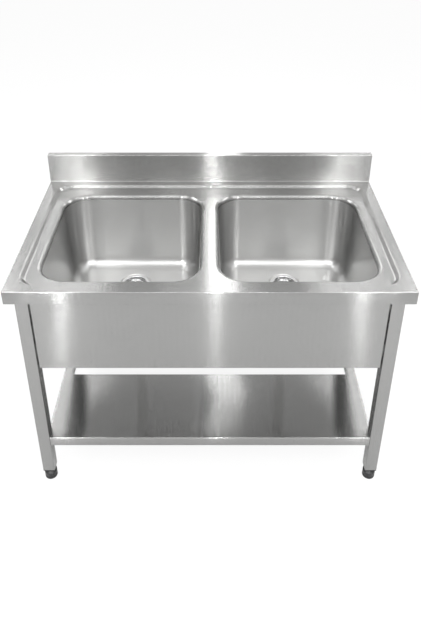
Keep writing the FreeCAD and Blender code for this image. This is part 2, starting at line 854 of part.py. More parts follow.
def shelf_fasteners():
    """Bracket screws with their nuts, and the shelf's weld studs with theirs."""
    pieces = []
    for piece in screw_and_nut(shelf_screw_seat, (1, 0, 0), shelf_screw_grip):
        pieces += four_corners(piece)
    stud_top = V(stud_x, leg_y, z_shelf_under)
    stud = cylinder(screw_radius, stud_top - UP * (bracket_sheet + nut_height + thread_end), stud_top)
    nut_top = stud_top - V(0, 0, bracket_sheet)
    nut_low = nut_top - V(0, 0, nut_height)
    nut = cylinder(nut_radius, nut_low, nut_top).cut(cylinder(screw_radius + hole_clearance, nut_low, nut_top))
    return pieces + four_corners(stud) + four_corners(nut)


# ---------------------------------------------------------------- feet
def foot_insert():
    """Plastic plug in the leg's end, with a flange over the tube's edge and a threaded bore."""
    half = leg_size / 2
    flange = box(leg_x - half, leg_x + half, leg_y - half, leg_y + half, z_insert, leg_end_height)

    def upright(point):
        return near(abs(point.x - leg_x), half) and near(abs(point.y - leg_y), half)

    flange = flange.makeFillet(leg_corner, edges_on(flange, upright))
    inner = half - leg_wall - insert_clearance
    plug = box(
        leg_x - inner, leg_x + inner, leg_y - inner, leg_y + inner, leg_end_height, leg_end_height + insert_plug
    )

    def plug_upright(point):
        return near(abs(point.x - leg_x), inner) and near(abs(point.y - leg_y), inner)

    plug = plug.makeFillet(leg_corner - leg_wall, edges_on(plug, plug_upright))
    bore = cylinder(
        spindle_radius + spindle_clearance,
        V(leg_x, leg_y, z_insert - overrun),
        V(leg_x, leg_y, leg_end_height + insert_plug + overrun),
    )
    return fuse_all([flange, plug]).cut(bore)


def foot_base():
    """Round plastic foot with a groove and a tapered shoulder."""
    groove_top = foot_groove_height + foot_groove_width
    waist = foot_radius - foot_groove_depth
    shoulder = foot_height - foot_shoulder_height
    profile = [
        (0, 0),
        (foot_radius - foot_chamfer, 0),
        (foot_radius, foot_chamfer),
        (foot_radius, foot_groove_height),
        (waist, foot_groove_height),
        (waist, groove_top),
        (foot_radius, groove_top),
        (foot_radius, shoulder),
        (foot_shoulder_radius, foot_height),
        (spindle_radius, foot_height),
        (spindle_radius, foot_height - spindle_socket),
        (0, foot_height - spindle_socket),
    ]
    return turned(profile, leg_x, leg_y)


def foot_spindle():
    """Threaded stud of the foot with the hexagon that a spanner turns."""
    low = foot_height - spindle_socket
    high = z_insert + spindle_engaged
    stud = cylinder(spindle_radius, V(leg_x, leg_y, low), V(leg_x, leg_y, high))
    corners = []
    for index in range(hex_sides + 1):
        turn = 2 * math.pi * index / hex_sides
        corners.append(V(leg_x + hex_radius * math.cos(turn), leg_y + hex_radius * math.sin(turn), foot_height))
    hexagon = Part.Face(Part.makePolygon(corners)).extrude(V(0, 0, hex_height))
    return fuse_all([stud, hexagon])


# ---------------------------------------------------------------- the unit
def all_nodes():
    """Every node's name with its solid or solids."""
    nodes = {
        "worktop": worktop(),
        "front_channel": front_channel(),
        "rear_channel": rear_channel(),
        "centre_channel": centre_channel(),
        "front_apron": front_apron(),
        "rear_rail": rear_rail(),
        "leg_top_plates": leg_top_plates(),
        "apron_spacers": apron_spacers(),
        "apron_screws": apron_screws(),
        "shelf": shelf(),
        "shelf_stiffener_rear": shelf_stiffener(),
        "shelf_brackets": shelf_brackets(),
        "shelf_fasteners": shelf_fasteners(),
    }
    front_rib = shelf_stiffener()
    front_rib.translate(V(0, (slot_front - leg_back) / 2 - (slot_rear + leg_back) / 2, 0))
    nodes["shelf_stiffener_front"] = front_rib
    for name, shape in (("side_channel", side_channel()), ("side_apron", side_apron())):
        nodes[name + "_right"] = shape
        nodes[name + "_left"] = mirror_x(shape)
    for name, shape in (("leg_front", front_leg()), ("leg_rear", rear_leg())):
        nodes[name + "_right"] = shape
        nodes[name + "_left"] = mirror_x(shape)
    for name, shape in (("foot_insert", foot_insert()), ("foot_base", foot_base()), ("foot_spindle", foot_spindle())):
        nodes[name + "_rear_right"] = shape
        nodes[name + "_rear_left"] = mirror_x(shape)
        nodes[name + "_front_right"] = mirror_y(shape)
        nodes[name + "_front_left"] = mirror_x(mirror_y(shape))
    for name, side in (("_left", -1), ("_right", 1)):
        nodes["bowl" + name] = bowl(side)
        nodes["strainer_body" + name] = strainer_body(side)
        nodes["flange_gasket" + name] = flange_gasket(side)
        gasket, friction, nut = lower_rings(side)
        nodes["lower_gasket" + name] = gasket
        nodes["friction_ring" + name] = friction
        nodes["lock_nut" + name] = nut
        nodes["basket" + name] = basket(side)
        nodes["basket_knob" + name] = basket_knob(side)
        nodes["basket_seal" + name] = basket_seal(side)
        nodes["tailpiece" + name] = tailpiece(side)
        nodes["coupling_nut" + name] = coupling_nut(side)
    return nodes


def main():
    """Build every piece and write it to parts/."""
    os.makedirs("parts", exist_ok=True)
    for name, shape in sorted(all_nodes().items()):
        if isinstance(shape, list):
            shape = Part.makeCompound(shape)
        shape.exportStep("parts/" + name + ".step")
        print(name, len(shape.Solids), "solids", "valid" if shape.isValid() else "NOT VALID", round(shape.Volume))


main()
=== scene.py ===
"""Kitchen sink unit: the looks of a free-standing steel sink with two bowls and a lower shelf.

Everything is in metres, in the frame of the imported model: origin on the floor under the centre of the
unit, +X to the right, +Y to the wall, +Z up. Sizes are written in millimetres in the classes' fields and
turned into metres where a mesh is made.
"""

import json
import logging
import math
from contextlib import contextmanager
from dataclasses import dataclass
from enum import Enum
from typing import Callable, Iterable, Iterator, Sequence

import bmesh
import bpy
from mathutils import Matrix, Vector

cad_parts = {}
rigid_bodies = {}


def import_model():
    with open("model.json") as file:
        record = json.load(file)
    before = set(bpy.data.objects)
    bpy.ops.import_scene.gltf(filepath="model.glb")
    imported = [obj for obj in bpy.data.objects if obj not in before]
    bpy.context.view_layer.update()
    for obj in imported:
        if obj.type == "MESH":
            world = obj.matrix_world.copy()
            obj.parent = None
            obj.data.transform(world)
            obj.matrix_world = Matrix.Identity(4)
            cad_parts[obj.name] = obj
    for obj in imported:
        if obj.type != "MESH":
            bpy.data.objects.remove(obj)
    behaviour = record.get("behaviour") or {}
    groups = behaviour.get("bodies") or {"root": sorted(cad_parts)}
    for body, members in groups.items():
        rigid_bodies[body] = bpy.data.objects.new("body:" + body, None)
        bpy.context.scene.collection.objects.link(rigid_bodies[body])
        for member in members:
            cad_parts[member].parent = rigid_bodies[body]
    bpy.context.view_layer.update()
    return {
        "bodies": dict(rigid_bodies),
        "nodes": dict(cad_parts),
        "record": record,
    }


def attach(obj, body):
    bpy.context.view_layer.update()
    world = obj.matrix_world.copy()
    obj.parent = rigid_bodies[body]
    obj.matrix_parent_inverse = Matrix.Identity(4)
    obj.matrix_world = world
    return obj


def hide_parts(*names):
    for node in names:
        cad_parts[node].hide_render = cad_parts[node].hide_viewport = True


MM = 0.001
GRAIN_MAP = "grain"
SIDES = {"left": -1, "right": 1}
CORNERS = {
    "front_left": (-1, -1),
    "front_right": (1, -1),
    "rear_left": (-1, 1),
    "rear_right": (1, 1),
}
log = logging.getLogger("sink unit")

Point = Sequence[float]
Ring = list[Vector]
Profile = list[tuple[float, float]]
Seats = list[tuple[Point, Point]]


class Grain(Enum):
    """The direction in which a flat part was brushed."""

    ALONG_X = 0
    ALONG_Y = 1
    ALONG_Z = 2


# ---------------------------------------------------------------- outlines and rings
@dataclass(frozen=True)
class Outline:
    """A rectangle seen from above, in millimetres, with its own radius at each corner.

    The corners come in the order front left, front right, rear right, rear left.
    """

    x0: float
    x1: float
    y0: float
    y1: float
    radii: tuple[float, float, float, float]
    arc_steps: int = 12
    side_steps: int = 6

    def inset(self, x0: float, x1: float, y0: float, y1: float) -> "Outline":
        """The outline with each side moved inwards, and its round corners turned on the same centres."""
        moves = ((x0, y0), (x1, y0), (x1, y1), (x0, y1))
        radii = tuple(max(r - max(move), 0.0) if r else 0.0 for r, move in zip(self.radii, moves))
        return Outline(
            self.x0 + x0, self.x1 - x1, self.y0 + y0, self.y1 - y1, radii, self.arc_steps, self.side_steps
        )

    def ring(self, height: float) -> Ring:
        """Points round the outline at one height.

        Args:
            height: the ring's height in millimetres.

        Returns:
            The same number of points for every outline with the same steps, in metres.
        """
        places = (
            (self.x0, self.y0, 1, 1, 180),
            (self.x1, self.y0, -1, 1, 270),
            (self.x1, self.y1, -1, -1, 0),
            (self.x0, self.y1, 1, -1, 90),
        )
        arcs: list[Ring] = []
        for (x, y, sign_x, sign_y, start), radius in zip(places, self.radii):
            centre_x = x + sign_x * radius
            centre_y = y + sign_y * radius
            arc = []
            for step in range(self.arc_steps + 1):
                turn = math.radians(start + 90 * step / self.arc_steps)
                along, across = radius * math.cos(turn), radius * math.sin(turn)
                arc.append(Vector((centre_x + along, centre_y + across, height)) * MM)
            arcs.append(arc)
        points: Ring = []
        for index, arc in enumerate(arcs):
            points += arc
            following = arcs[(index + 1) % 4][0]
            for step in range(1, self.side_steps):
                points.append(arc[-1].lerp(following, step / self.side_steps))
        return points

    def open_span(self) -> slice:
        """The part of a ring from the end of the front left corner round to the rear left one."""
        return slice(self.arc_steps, 3 * (self.arc_steps + 1) + 3 * (self.side_steps - 1) + 1)


def circle(centre: Point, radius: float, like: Outline) -> Outline:
    """A round outline whose ring matches another outline's ring point for point."""
    x, y = centre
    return Outline(
        x - radius, x + radius, y - radius, y + radius, (radius,) * 4, like.arc_steps, like.side_steps
    )


def distances(ring: Ring, closed: bool) -> list[float]:
    """How far along a ring each of its points lies, with the full length last if it is closed."""
    points = ring + ring[:1] if closed else ring
    total = [0.0]
    for first, second in zip(points, points[1:]):
        total.append(total[-1] + (second - first).length)
    return total


# ---------------------------------------------------------------- meshes
class Surface:
    """Collects faces of one piece, each corner with its place along and across the grain."""

    def __init__(self) -> None:
        """Starts with no faces."""
        self.faces: list[list[Vector]] = []
        self.grain: list[list[tuple[float, float]]] = []

    def face(self, corners: Sequence[Vector], grain: Sequence[tuple[float, float]]) -> None:
        """Adds one face, without corners that fall on the one before them."""
        kept: list[Vector] = []
        kept_grain: list[tuple[float, float]] = []
        for corner, place in zip(corners, grain):
            if all((corner - other).length > 1e-7 for other in kept):
                kept.append(corner)
                kept_grain.append(place)
        if len(kept) > 2:
            self.faces.append(kept)
            self.grain.append(kept_grain)

    def flat_band(self, first: Ring, second: Ring, closed: bool) -> None:
        """Flat faces between two rings of a level sheet, with the grain along X."""
        count = len(first) if closed else len(first) - 1
        for index in range(count):
            after = (index + 1) % len(first)
            corners = (first[index], first[after], second[after], second[index])
            self.face(corners, [(corner.x, corner.y) for corner in corners])

    def bands(self, rings: Sequence[Ring], closed: bool) -> None:
        """Faces between rings that follow each other, with the grain along the rings."""
        along = distances(rings[0], closed)
        across = 0.0
        for first, second in zip(rings, rings[1:]):
            width = max((a - b).length for a, b in zip(first, second))
            for index in range(len(along) - 1):
                after = (index + 1) % len(first)
                corners = (first[index], first[after], second[after], second[index])
                u0, u1 = along[index], along[index + 1]
                self.face(corners, [(u0, across), (u1, across), (u1, across + width), (u0, across + width)])
            across += width

    def mirrored(self) -> None:
        """Adds the same faces on the other side of the unit, facing the same way."""
        for corners, grain in list(zip(self.faces, self.grain)):
            self.faces.append([Vector((-c.x, c.y, c.z)) for c in reversed(corners)])
            self.grain.append([(-u, v) for u, v in reversed(grain)])

    def to_object(self, name: str, outward: Point | None = None) -> bpy.types.Object:
        """Makes the object, with its corners joined.

        Args:
            name: the object's name.
            outward: for an open sheet, the direction that its visible side faces.

        Returns:
            A mesh object at the origin that carries the grain map.
        """
        work = bmesh.new()
        layer = work.loops.layers.uv.new(GRAIN_MAP)
        for corners, grain in zip(self.faces, self.grain):
            face = work.faces.new([work.verts.new(corner) for corner in corners])
            for loop, place in zip(face.loops, grain):
                loop[layer].uv = place
        bmesh.ops.remove_doubles(work, verts=work.verts, dist=2e-6)
        if outward:
            turn_towards(work, Vector(outward))
        mesh = bpy.data.meshes.new(name)
        work.to_mesh(mesh)
        work.free()
        return link(name, mesh)


def link(name: str, mesh: bpy.types.Mesh) -> bpy.types.Object:
    """Puts a mesh into the scene as an object."""
    made = bpy.data.objects.new(name, mesh)
    bpy.context.scene.collection.objects.link(made)
    return made


def bake_modifiers(piece: bpy.types.Object) -> bpy.types.Object:
    """Turns a piece and its modifiers into a plain mesh."""
    graph = bpy.context.evaluated_depsgraph_get()
    graph.update()
    mesh = bpy.data.meshes.new_from_object(piece.evaluated_get(graph))
    old = piece.data
    piece.modifiers.clear()
    piece.data = mesh
    mesh.name = piece.name
    bpy.data.meshes.remove(old)
    return piece


@contextmanager
def editing(mesh: bpy.types.Mesh) -> Iterator[bmesh.types.BMesh]:
    """Opens a mesh for editing and writes it back afterwards."""
    work = bmesh.new()
    work.from_mesh(mesh)
    yield work
    work.to_mesh(mesh)
    work.free()


def smooth(piece: bpy.types.Object, limit: float = 35.0) -> bpy.types.Object:
    """Shades a piece smooth, with sharp edges where its faces turn by more than the limit in degrees."""
    with editing(piece.data) as work:
        for face in work.faces:
            face.smooth = True
        for edge in work.edges:
            if len(edge.link_faces) == 2:
                edge.smooth = edge.calc_face_angle(0.0) < math.radians(limit)
    return piece


def face_outward(piece: bpy.types.Object) -> bpy.types.Object:
    """Recalculates the normals of a closed or joined mesh."""
    with editing(piece.data) as work:
        bmesh.ops.recalc_face_normals(work, faces=work.faces)
    return piece


def turn_towards(work: bmesh.types.BMesh, outward: Vector) -> None:
    """Makes a sheet's faces agree, with its largest one in this direction facing that way."""
    bmesh.ops.recalc_face_normals(work, faces=work.faces)
    largest = max(work.faces, key=lambda face: face.calc_area() * abs(face.normal.dot(outward)))
    if largest.normal.dot(outward) < 0:
        bmesh.ops.reverse_faces(work, faces=work.faces)


def thicken(piece: bpy.types.Object, thickness: float) -> bpy.types.Object:
    """Gives a sheet its thickness in millimetres, behind its visible side."""
    wall = piece.modifiers.new("sheet", "SOLIDIFY")
    wall.thickness = thickness * MM
    wall.offset = -1.0
    wall.use_even_offset = True
    return bake_modifiers(piece)


def round_edges(piece: bpy.types.Object, radius: float, segments: int = 4) -> bpy.types.Object:
    """Rounds the folds or edges of a piece by a radius in millimetres."""
    bevel = piece.modifiers.new("fold", "BEVEL")
    bevel.width = radius * MM
    bevel.segments = segments
    bevel.limit_method = "ANGLE"
    bevel.angle_limit = math.radians(30)
    bevel.use_clamp_overlap = False
    return bake_modifiers(piece)


def map_grain(piece: bpy.types.Object, grain: Grain) -> bpy.types.Object:
    """Writes the grain map of a piece whose faces were all brushed the same way.

    Args:
        piece: a mesh object at the origin.
        grain: the direction of the brushing; a face square to it is brushed along X, or along Y.

    Returns:
        The same object.
    """
    mesh = piece.data
    layer = mesh.uv_layers.get(GRAIN_MAP) or mesh.uv_layers.new(name=GRAIN_MAP)
    places = [vertex.co for vertex in mesh.vertices]
    for polygon in mesh.polygons:
        facing = max(range(3), key=lambda axis: abs(polygon.normal[axis]))
        axes = [axis for axis in range(3) if axis != facing]
        if grain.value in axes:
            axes.sort(key=lambda axis: axis != grain.value)
        for index in polygon.loop_indices:
            place = places[mesh.loops[index].vertex_index]
            layer.data[index].uv = (place[axes[0]], place[axes[1]])
    return piece


def metres(*values: float) -> tuple[float, ...]:
    """Turns millimetres into metres."""
    return tuple(value * MM for value in values)


def round_ring(centre: Point, height: float, steps: int, reach: Callable[[int, float], float]) -> Ring:
    """Points round an upright line.

    Args:
        centre: x and y of the line in millimetres.
        height: the ring's height in millimetres.
        steps: how many points it has.
        reach: gives a point's radius from its number and its turn.

    Returns:
        The points in metres.
    """
    ring = []
    for step in range(steps):
        turn = 2 * math.pi * step / steps
        radius = reach(step, turn)
        x = centre[0] + radius * math.cos(turn)
        y = centre[1] + radius * math.sin(turn)
        ring.append(Vector((x, y, height)) * MM)
    return ring


def hexagon_reach(radius: float, turn: float) -> float:
    """How far a hexagon with this corner radius reaches at a turn."""
    flat = (turn % (math.pi / 3)) - math.pi / 6
    return radius * math.cos(math.pi / 6) / math.cos(flat)


def lathe(name: str, profile: Profile, centre: Point, steps: int = 64) -> bpy.types.Object:
    """Turns a closed profile about an upright line.

    Args:
        name: the object's name.
        profile: (radius, height) points in millimetres; the first and last points are joined.
        centre: x and y of the line in millimetres.
        steps: how many parts the turn has.

    Returns:
        A closed mesh object, brushed round the line.
    """
    surface = Surface()
    rings = [
        round_ring(centre, height, steps, lambda step, turn, radius=radius: radius)
        for radius, height in [*profile, profile[0]]
    ]
    widest = max(radius for radius, _ in profile) * MM
    across = 0.0
    for first, second in zip(rings, rings[1:]):
        width = (first[0] - second[0]).length
        for step in range(steps):
            after = (step + 1) % steps
            u0 = 2 * math.pi * widest * step / steps
            u1 = 2 * math.pi * widest * (step + 1) / steps
            corners = (first[step], first[after], second[after], second[step])
            surface.face(corners, [(u0, across), (u1, across), (u1, across + width), (u0, across + width)])
        across += width
    return smooth(face_outward(surface.to_object(name)))


def rounded(profile: Profile, radius: float, steps: int = 4, sharp: Iterable[int] = ()) -> Profile:
    """Rounds the corners of a closed profile.

    Args:
        profile: corner points in millimetres.
        radius: the largest radius; a short side makes it smaller.
        steps: how many parts each round has.
        sharp: the indices of corners that stay as they are.

    Returns:
        The longer list of points.
    """
    kept = set(sharp)
    result: Profile = []
    for index, corner in enumerate(profile):
        here = Vector(corner)
        before = Vector(profile[index - 1])
        after = Vector(profile[(index + 1) % len(profile)])
        into, out = before - here, after - here
        if index in kept or here.x == 0 or into.length < 1e-6 or out.length < 1e-6:
            result.append(corner)
            continue
        angle = into.angle(out)
        if angle > math.radians(170):
            result.append(corner)
            continue
        cut = min(radius / math.tan(angle / 2), 0.45 * into.length, 0.45 * out.length)
        start = here + into.normalized() * cut
        end = here + out.normalized() * cut
        for step in range(steps + 1):
            share = step / steps
            point = start.lerp(here, share).lerp(here.lerp(end, share), share)
            result.append((point.x, point.y))
    return result


class Sheet:
    """A folded sheet: flat cells that meet at their edges."""

    def __init__(self) -> None:
        """Starts with no cells."""
        self.faces: list[tuple[Vector, ...]] = []

    def plate(self, origin: Point, first: Point, second: Point) -> None:
        """Adds a flat cell from its corner and its two sides, in millimetres."""
        corner, along, up = Vector(origin), Vector(first), Vector(second)
        self.faces.append(tuple(p * MM for p in (corner, corner + along, corner + along + up, corner + up)))

    def to_object(
        self, name: str, outward: Point, thickness: float, fold: float, grain: Grain
    ) -> bpy.types.Object:
        """Joins the cells, rounds the folds and gives the sheet its thickness.

        Args:
            name: the object's name.
            outward: the direction that the largest cell faces.
            thickness: the sheet in millimetres, behind the visible side.
            fold: the outer radius of the folds in millimetres.
            grain: the direction of the brushing.

        Returns:
            A closed mesh object.
        """
        work = bmesh.new()
        for corners in self.faces:
            work.faces.new([work.verts.new(corner) for corner in corners])
        bmesh.ops.remove_doubles(work, verts=work.verts, dist=2e-6)
        turn_towards(work, Vector(outward))
        mesh = bpy.data.meshes.new(name)
        work.to_mesh(mesh)
        work.free()
        piece = link(name, mesh)
        round_edges(piece, fold)
        thicken(piece, thickness)
        return smooth(map_grain(piece, grain))


# ---------------------------------------------------------------- geometry node trees
class Tree:
    """A geometry node tree with named inputs, made once and used by a modifier."""

    def __init__(self, name: str, inputs: Sequence[tuple[str, str]]) -> None:
        """Makes the tree with a Geometry input first and the given inputs after it."""
        self.group = bpy.data.node_groups.new(name, "GeometryNodeTree")
        faces = self.group.interface
        faces.new_socket("Geometry", in_out="INPUT", socket_type="NodeSocketGeometry")
        self.ids: dict[str, str] = {}
        for label, kind in inputs:
            socket = faces.new_socket(label, in_out="INPUT", socket_type="NodeSocket" + kind)
            self.ids[label] = socket.identifier
        faces.new_socket("Geometry", in_out="OUTPUT", socket_type="NodeSocketGeometry")
        self.source = self.group.nodes.new("NodeGroupInput")
        self.sink = self.group.nodes.new("NodeGroupOutput")

    def node(self, kind: str, links: dict[str, bpy.types.NodeSocket] | None = None, **settings: object):
        """Adds a node.

        Args:
            kind: the node's type, without its GeometryNode prefix where it has one.
            links: the sockets that feed the node's inputs, by input name or by number.
            settings: properties of the node, or default values of its inputs with _ for a space.

        Returns:
            The node.
        """
        prefix = "" if kind.startswith(("Function", "Shader")) else "GeometryNode"
        made = self.group.nodes.new(prefix + kind)
        for key, value in settings.items():
            if hasattr(made, key):
                setattr(made, key, value)
            else:
                made.inputs[key.replace("_", " ")].default_value = value
        for key, socket in (links or {}).items():
            self.group.links.new(socket, made.inputs[key])
        return made

    def finish(self, geometry: bpy.types.NodeSocket) -> None:
        """Ends the tree in real geometry with the material that its input names."""
        real = self.node("RealizeInstances", {"Geometry": geometry})
        dressed = self.node(
            "SetMaterial", {"Geometry": real.outputs[0], "Material": self.source.outputs["Material"]}
        )
        self.group.links.new(dressed.outputs[0], self.sink.inputs[0])

    def apply(self, piece: bpy.types.Object, values: dict[str, object]) -> bpy.types.Object:
        """Runs the tree on a piece with these input values and leaves a plain mesh."""
        modifier = piece.modifiers.new(self.group.name, "NODES")
        modifier.node_group = self.group
        for label, value in values.items():
            modifier[self.ids[label]] = value
        return bake_modifiers(piece)


def tube_tree() -> Tree:
    """A square tube: two rounded squares, the face between them, and its height."""
    tree = Tree(
        "square tube",
        [("Size", "Float"), ("Wall", "Float"), ("Corner", "Float"), ("Low", "Float"), ("High", "Float"),
         ("Centre", "Vector"), ("Material", "Material")],
    )
    given = tree.source.outputs
    bore = tree.node("ShaderNodeMath", {0: given["Wall"]}, operation="MULTIPLY")
    bore.inputs[1].default_value = 2.0
    bore_size = tree.node("ShaderNodeMath", {0: given["Size"], 1: bore.outputs[0]}, operation="SUBTRACT")
    bore_corner = tree.node("ShaderNodeMath", {0: given["Corner"], 1: given["Wall"]}, operation="SUBTRACT")
    loops = []
    for size, corner in ((given["Size"], given["Corner"]), (bore_size.outputs[0], bore_corner.outputs[0])):
        square = tree.node("CurvePrimitiveQuadrilateral", {"Width": size, "Height": size})
        soft = tree.node("FilletCurve", {"Curve": square.outputs[0], "Radius": corner})
        soft.mode = "POLY"
        soft.inputs["Count"].default_value = 7
        loops.append(soft)
    both = tree.node("JoinGeometry")
    for loop in loops:
        tree.group.links.new(loop.outputs[0], both.inputs[0])
    end = tree.node("FillCurve", {"Curve": both.outputs[0]})
    rise = tree.node("ShaderNodeMath", {0: given["High"], 1: given["Low"]}, operation="SUBTRACT")
    wall = tree.node("ExtrudeMesh", {"Mesh": end.outputs[0], "Offset Scale": rise.outputs[0]})
    wall.mode = "FACES"
    wall.inputs["Individual"].default_value = False
    upward = tree.node("ShaderNodeCombineXYZ")
    upward.inputs[2].default_value = 1.0
    tree.group.links.new(upward.outputs[0], wall.inputs["Offset"])
    under = tree.node("FlipFaces", {"Mesh": end.outputs[0]})
    closed = tree.node("JoinGeometry")
    tree.group.links.new(wall.outputs[0], closed.inputs[0])
    tree.group.links.new(under.outputs[0], closed.inputs[0])
    merged = tree.node("MergeByDistance", {"Geometry": closed.outputs[0]}, Distance=1e-6)
    foot = tree.node("ShaderNodeCombineXYZ", {2: given["Low"]})
    place = tree.node("ShaderNodeVectorMath", {0: given["Centre"], 1: foot.outputs[0]}, operation="ADD")
    moved = tree.node("Transform", {"Geometry": merged.outputs[0], "Translation": place.outputs[0]})
    tree.finish(moved.outputs[0])
    return tree


def ring_of(tree: Tree, count: bpy.types.NodeSocket, radius: bpy.types.NodeSocket, start: float):
    """Points round a circle in a tree, turned by start radians, with their outward turn about Z."""
    round_line = tree.node("MeshCircle", {"Vertices": count, "Radius": radius}, fill_type="NONE")
    turned = tree.node("Transform", {"Geometry": round_line.outputs[0]})
    turned.inputs["Rotation"].default_value = (0.0, 0.0, start)
    return turned


def perforation_tree() -> Tree:
    """Punches two rings of holes through a basket's floor and one ring through its sloped wall."""
    tree = Tree(
        "basket perforations",
        [("Centre", "Vector"), ("Floor Hole", "Float"), ("Wall Hole", "Float"), ("Inner Count", "Int"),
         ("Inner Ring", "Float"), ("Outer Count", "Int"), ("Outer Ring", "Float"), ("Wall Count", "Int"),
         ("Wall Ring", "Float"), ("Wall Height", "Float"), ("Reach", "Float"), ("Material", "Material")],
    )
    given = tree.source.outputs
    punch, wall_punch = (
        tree.node("MeshCylinder", {"Radius": given[hole], "Depth": given["Reach"]}, Vertices=corners)
        for hole, corners in (("Floor Hole", 16), ("Wall Hole", 18))
    )
    cutters = tree.node("JoinGeometry")
    for count, ring in (("Inner Count", "Inner Ring"), ("Outer Count", "Outer Ring")):
        spots = ring_of(tree, given[count], given[ring], 0.0)
        holes = tree.node("InstanceOnPoints", {"Points": spots.outputs[0], "Instance": punch.outputs[0]})
        tree.group.links.new(holes.outputs[0], cutters.inputs[0])
    spots = ring_of(tree, given["Wall Count"], given["Wall Ring"], math.radians(7))
    where = tree.node("InputPosition")
    outward = tree.node("FunctionNodeAlignRotationToVector", {"Vector": where.outputs[0]}, axis="Z")
    holes = tree.node(
        "InstanceOnPoints",
        {"Points": spots.outputs[0], "Instance": wall_punch.outputs[0], "Rotation": outward.outputs[0]},
    )
    lift = tree.node("ShaderNodeCombineXYZ", {2: given["Wall Height"]})
    raised = tree.node("Transform", {"Geometry": holes.outputs[0], "Translation": lift.outputs[0]})
    tree.group.links.new(raised.outputs[0], cutters.inputs[0])
    placed = tree.node("Transform", {"Geometry": cutters.outputs[0], "Translation": given["Centre"]})
    real = tree.node("RealizeInstances", {"Geometry": placed.outputs[0]})
    punched = tree.node("MeshBoolean", {"Mesh 1": given["Geometry"], "Mesh 2": real.outputs[0]})
    punched.operation = "DIFFERENCE"
    tree.finish(punched.outputs["Mesh"])
    return tree


def fastener_tree() -> Tree:
    """Sets a copy of one fastener on each point, along the direction that the point carries."""
    tree = Tree("fasteners", [("Fastener", "Object"), ("Material", "Material")])
    given = tree.source.outputs
    pattern = tree.node("ObjectInfo", {"Object": given["Fastener"]})
    direction = tree.node("InputNamedAttribute", data_type="FLOAT_VECTOR", Name="direction")
    turn = tree.node("FunctionNodeAlignRotationToVector", {"Vector": direction.outputs[0]}, axis="Z")
    copies = tree.node(
        "InstanceOnPoints",
        {"Points": given["Geometry"], "Instance": pattern.outputs["Geometry"], "Rotation": turn.outputs[0]},
    )
    tree.finish(copies.outputs[0])
    return tree


def rib_tree() -> Tree:
    """Stands upright ribs round a nut and joins them to it."""
    tree = Tree(
        "nut ribs",
        [("Count", "Int"), ("Ring", "Float"), ("Rib", "Vector"), ("Centre", "Vector"),
         ("Material", "Material")],
    )
    given = tree.source.outputs
    block = tree.node("MeshCube", {"Size": given["Rib"]})
    spots = ring_of(tree, given["Count"], given["Ring"], 0.0)
    where = tree.node("InputPosition")
    outward = tree.node("FunctionNodeAlignRotationToVector", {"Vector": where.outputs[0]}, axis="X")
    ribs = tree.node(
        "InstanceOnPoints",
        {"Points": spots.outputs[0], "Instance": block.outputs[0], "Rotation": outward.outputs[0]},
    )
    placed = tree.node("Transform", {"Geometry": ribs.outputs[0], "Translation": given["Centre"]})
    both = tree.node("JoinGeometry")
    tree.group.links.new(placed.outputs[0], both.inputs[0])
    tree.group.links.new(given["Geometry"], both.inputs[0])
    tree.finish(both.outputs[0])
    return tree


# ---------------------------------------------------------------- shader groups
class Shader:
    """Adds nodes to a material or a shader group by short calls."""

    def __init__(self, tree: bpy.types.NodeTree) -> None:
        """Works on one node tree."""
        self.tree = tree

    def node(self, kind: str, links: dict[object, bpy.types.NodeSocket] | None = None, **settings: object):
        """Adds a shader node; settings are its properties, or default values of its inputs."""
        made = self.tree.nodes.new("ShaderNode" + kind)
        for key, value in settings.items():
            if hasattr(made, key):
                setattr(made, key, value)
            else:
                made.inputs[key.replace("_", " ")].default_value = value
        self.feed(made, links or {})
        return made

    def feed(self, node: bpy.types.ShaderNode, links: dict[object, bpy.types.NodeSocket]) -> None:
        """Links sockets to a node's inputs, by input name or by number."""
        for key, socket in links.items():
            self.tree.links.new(socket, node.inputs[key])

    def math(self, operation: str, first: object, second: object = 0.0, clamp: bool = False):
        """Adds a Math node on two values or sockets and returns its output."""
        made = self.node("Math", operation=operation, use_clamp=clamp)
        for index, value in enumerate((first, second)):
            if isinstance(value, bpy.types.NodeSocket):
                self.tree.links.new(value, made.inputs[index])
            else:
                made.inputs[index].default_value = value
        return made.outputs[0]

    def spread(self, value: bpy.types.NodeSocket, low: float, high: float, to_low: float, to_high: float):
        """Maps a value from one range onto another and returns the output."""
        made = self.node("MapRange", {0: value})
        for index, bound in enumerate((low, high, to_low, to_high), start=1):
            made.inputs[index].default_value = bound
        return made.outputs[0]


def new_material(name: str) -> tuple[bpy.types.Material, Shader, bpy.types.ShaderNode]:
    """Makes a material; returns it with a helper for its nodes and with its Principled node."""
    made = bpy.data.materials.new(name)
    made.use_nodes = True
    return made, Shader(made.node_tree), made.node_tree.nodes["Principled BSDF"]


def shader_group(name: str, inputs: Sequence[tuple[str, str]], outputs: Sequence[tuple[str, str]]):
    """Makes an empty shader group with named sockets.

    Args:
        name: the group's name.
        inputs: (label, kind) of each input.
        outputs: (label, kind) of each output.

    Returns:
        The group, its input sockets and its output node.
    """
    group = bpy.data.node_groups.new(name, "ShaderNodeTree")
    for label, kind in inputs:
        group.interface.new_socket(label, in_out="INPUT", socket_type="NodeSocket" + kind)
    for label, kind in outputs:
        group.interface.new_socket(label, in_out="OUTPUT", socket_type="NodeSocket" + kind)
    source = group.nodes.new("NodeGroupInput")
    sink = group.nodes.new("NodeGroupOutput")
    return group, source.outputs, sink


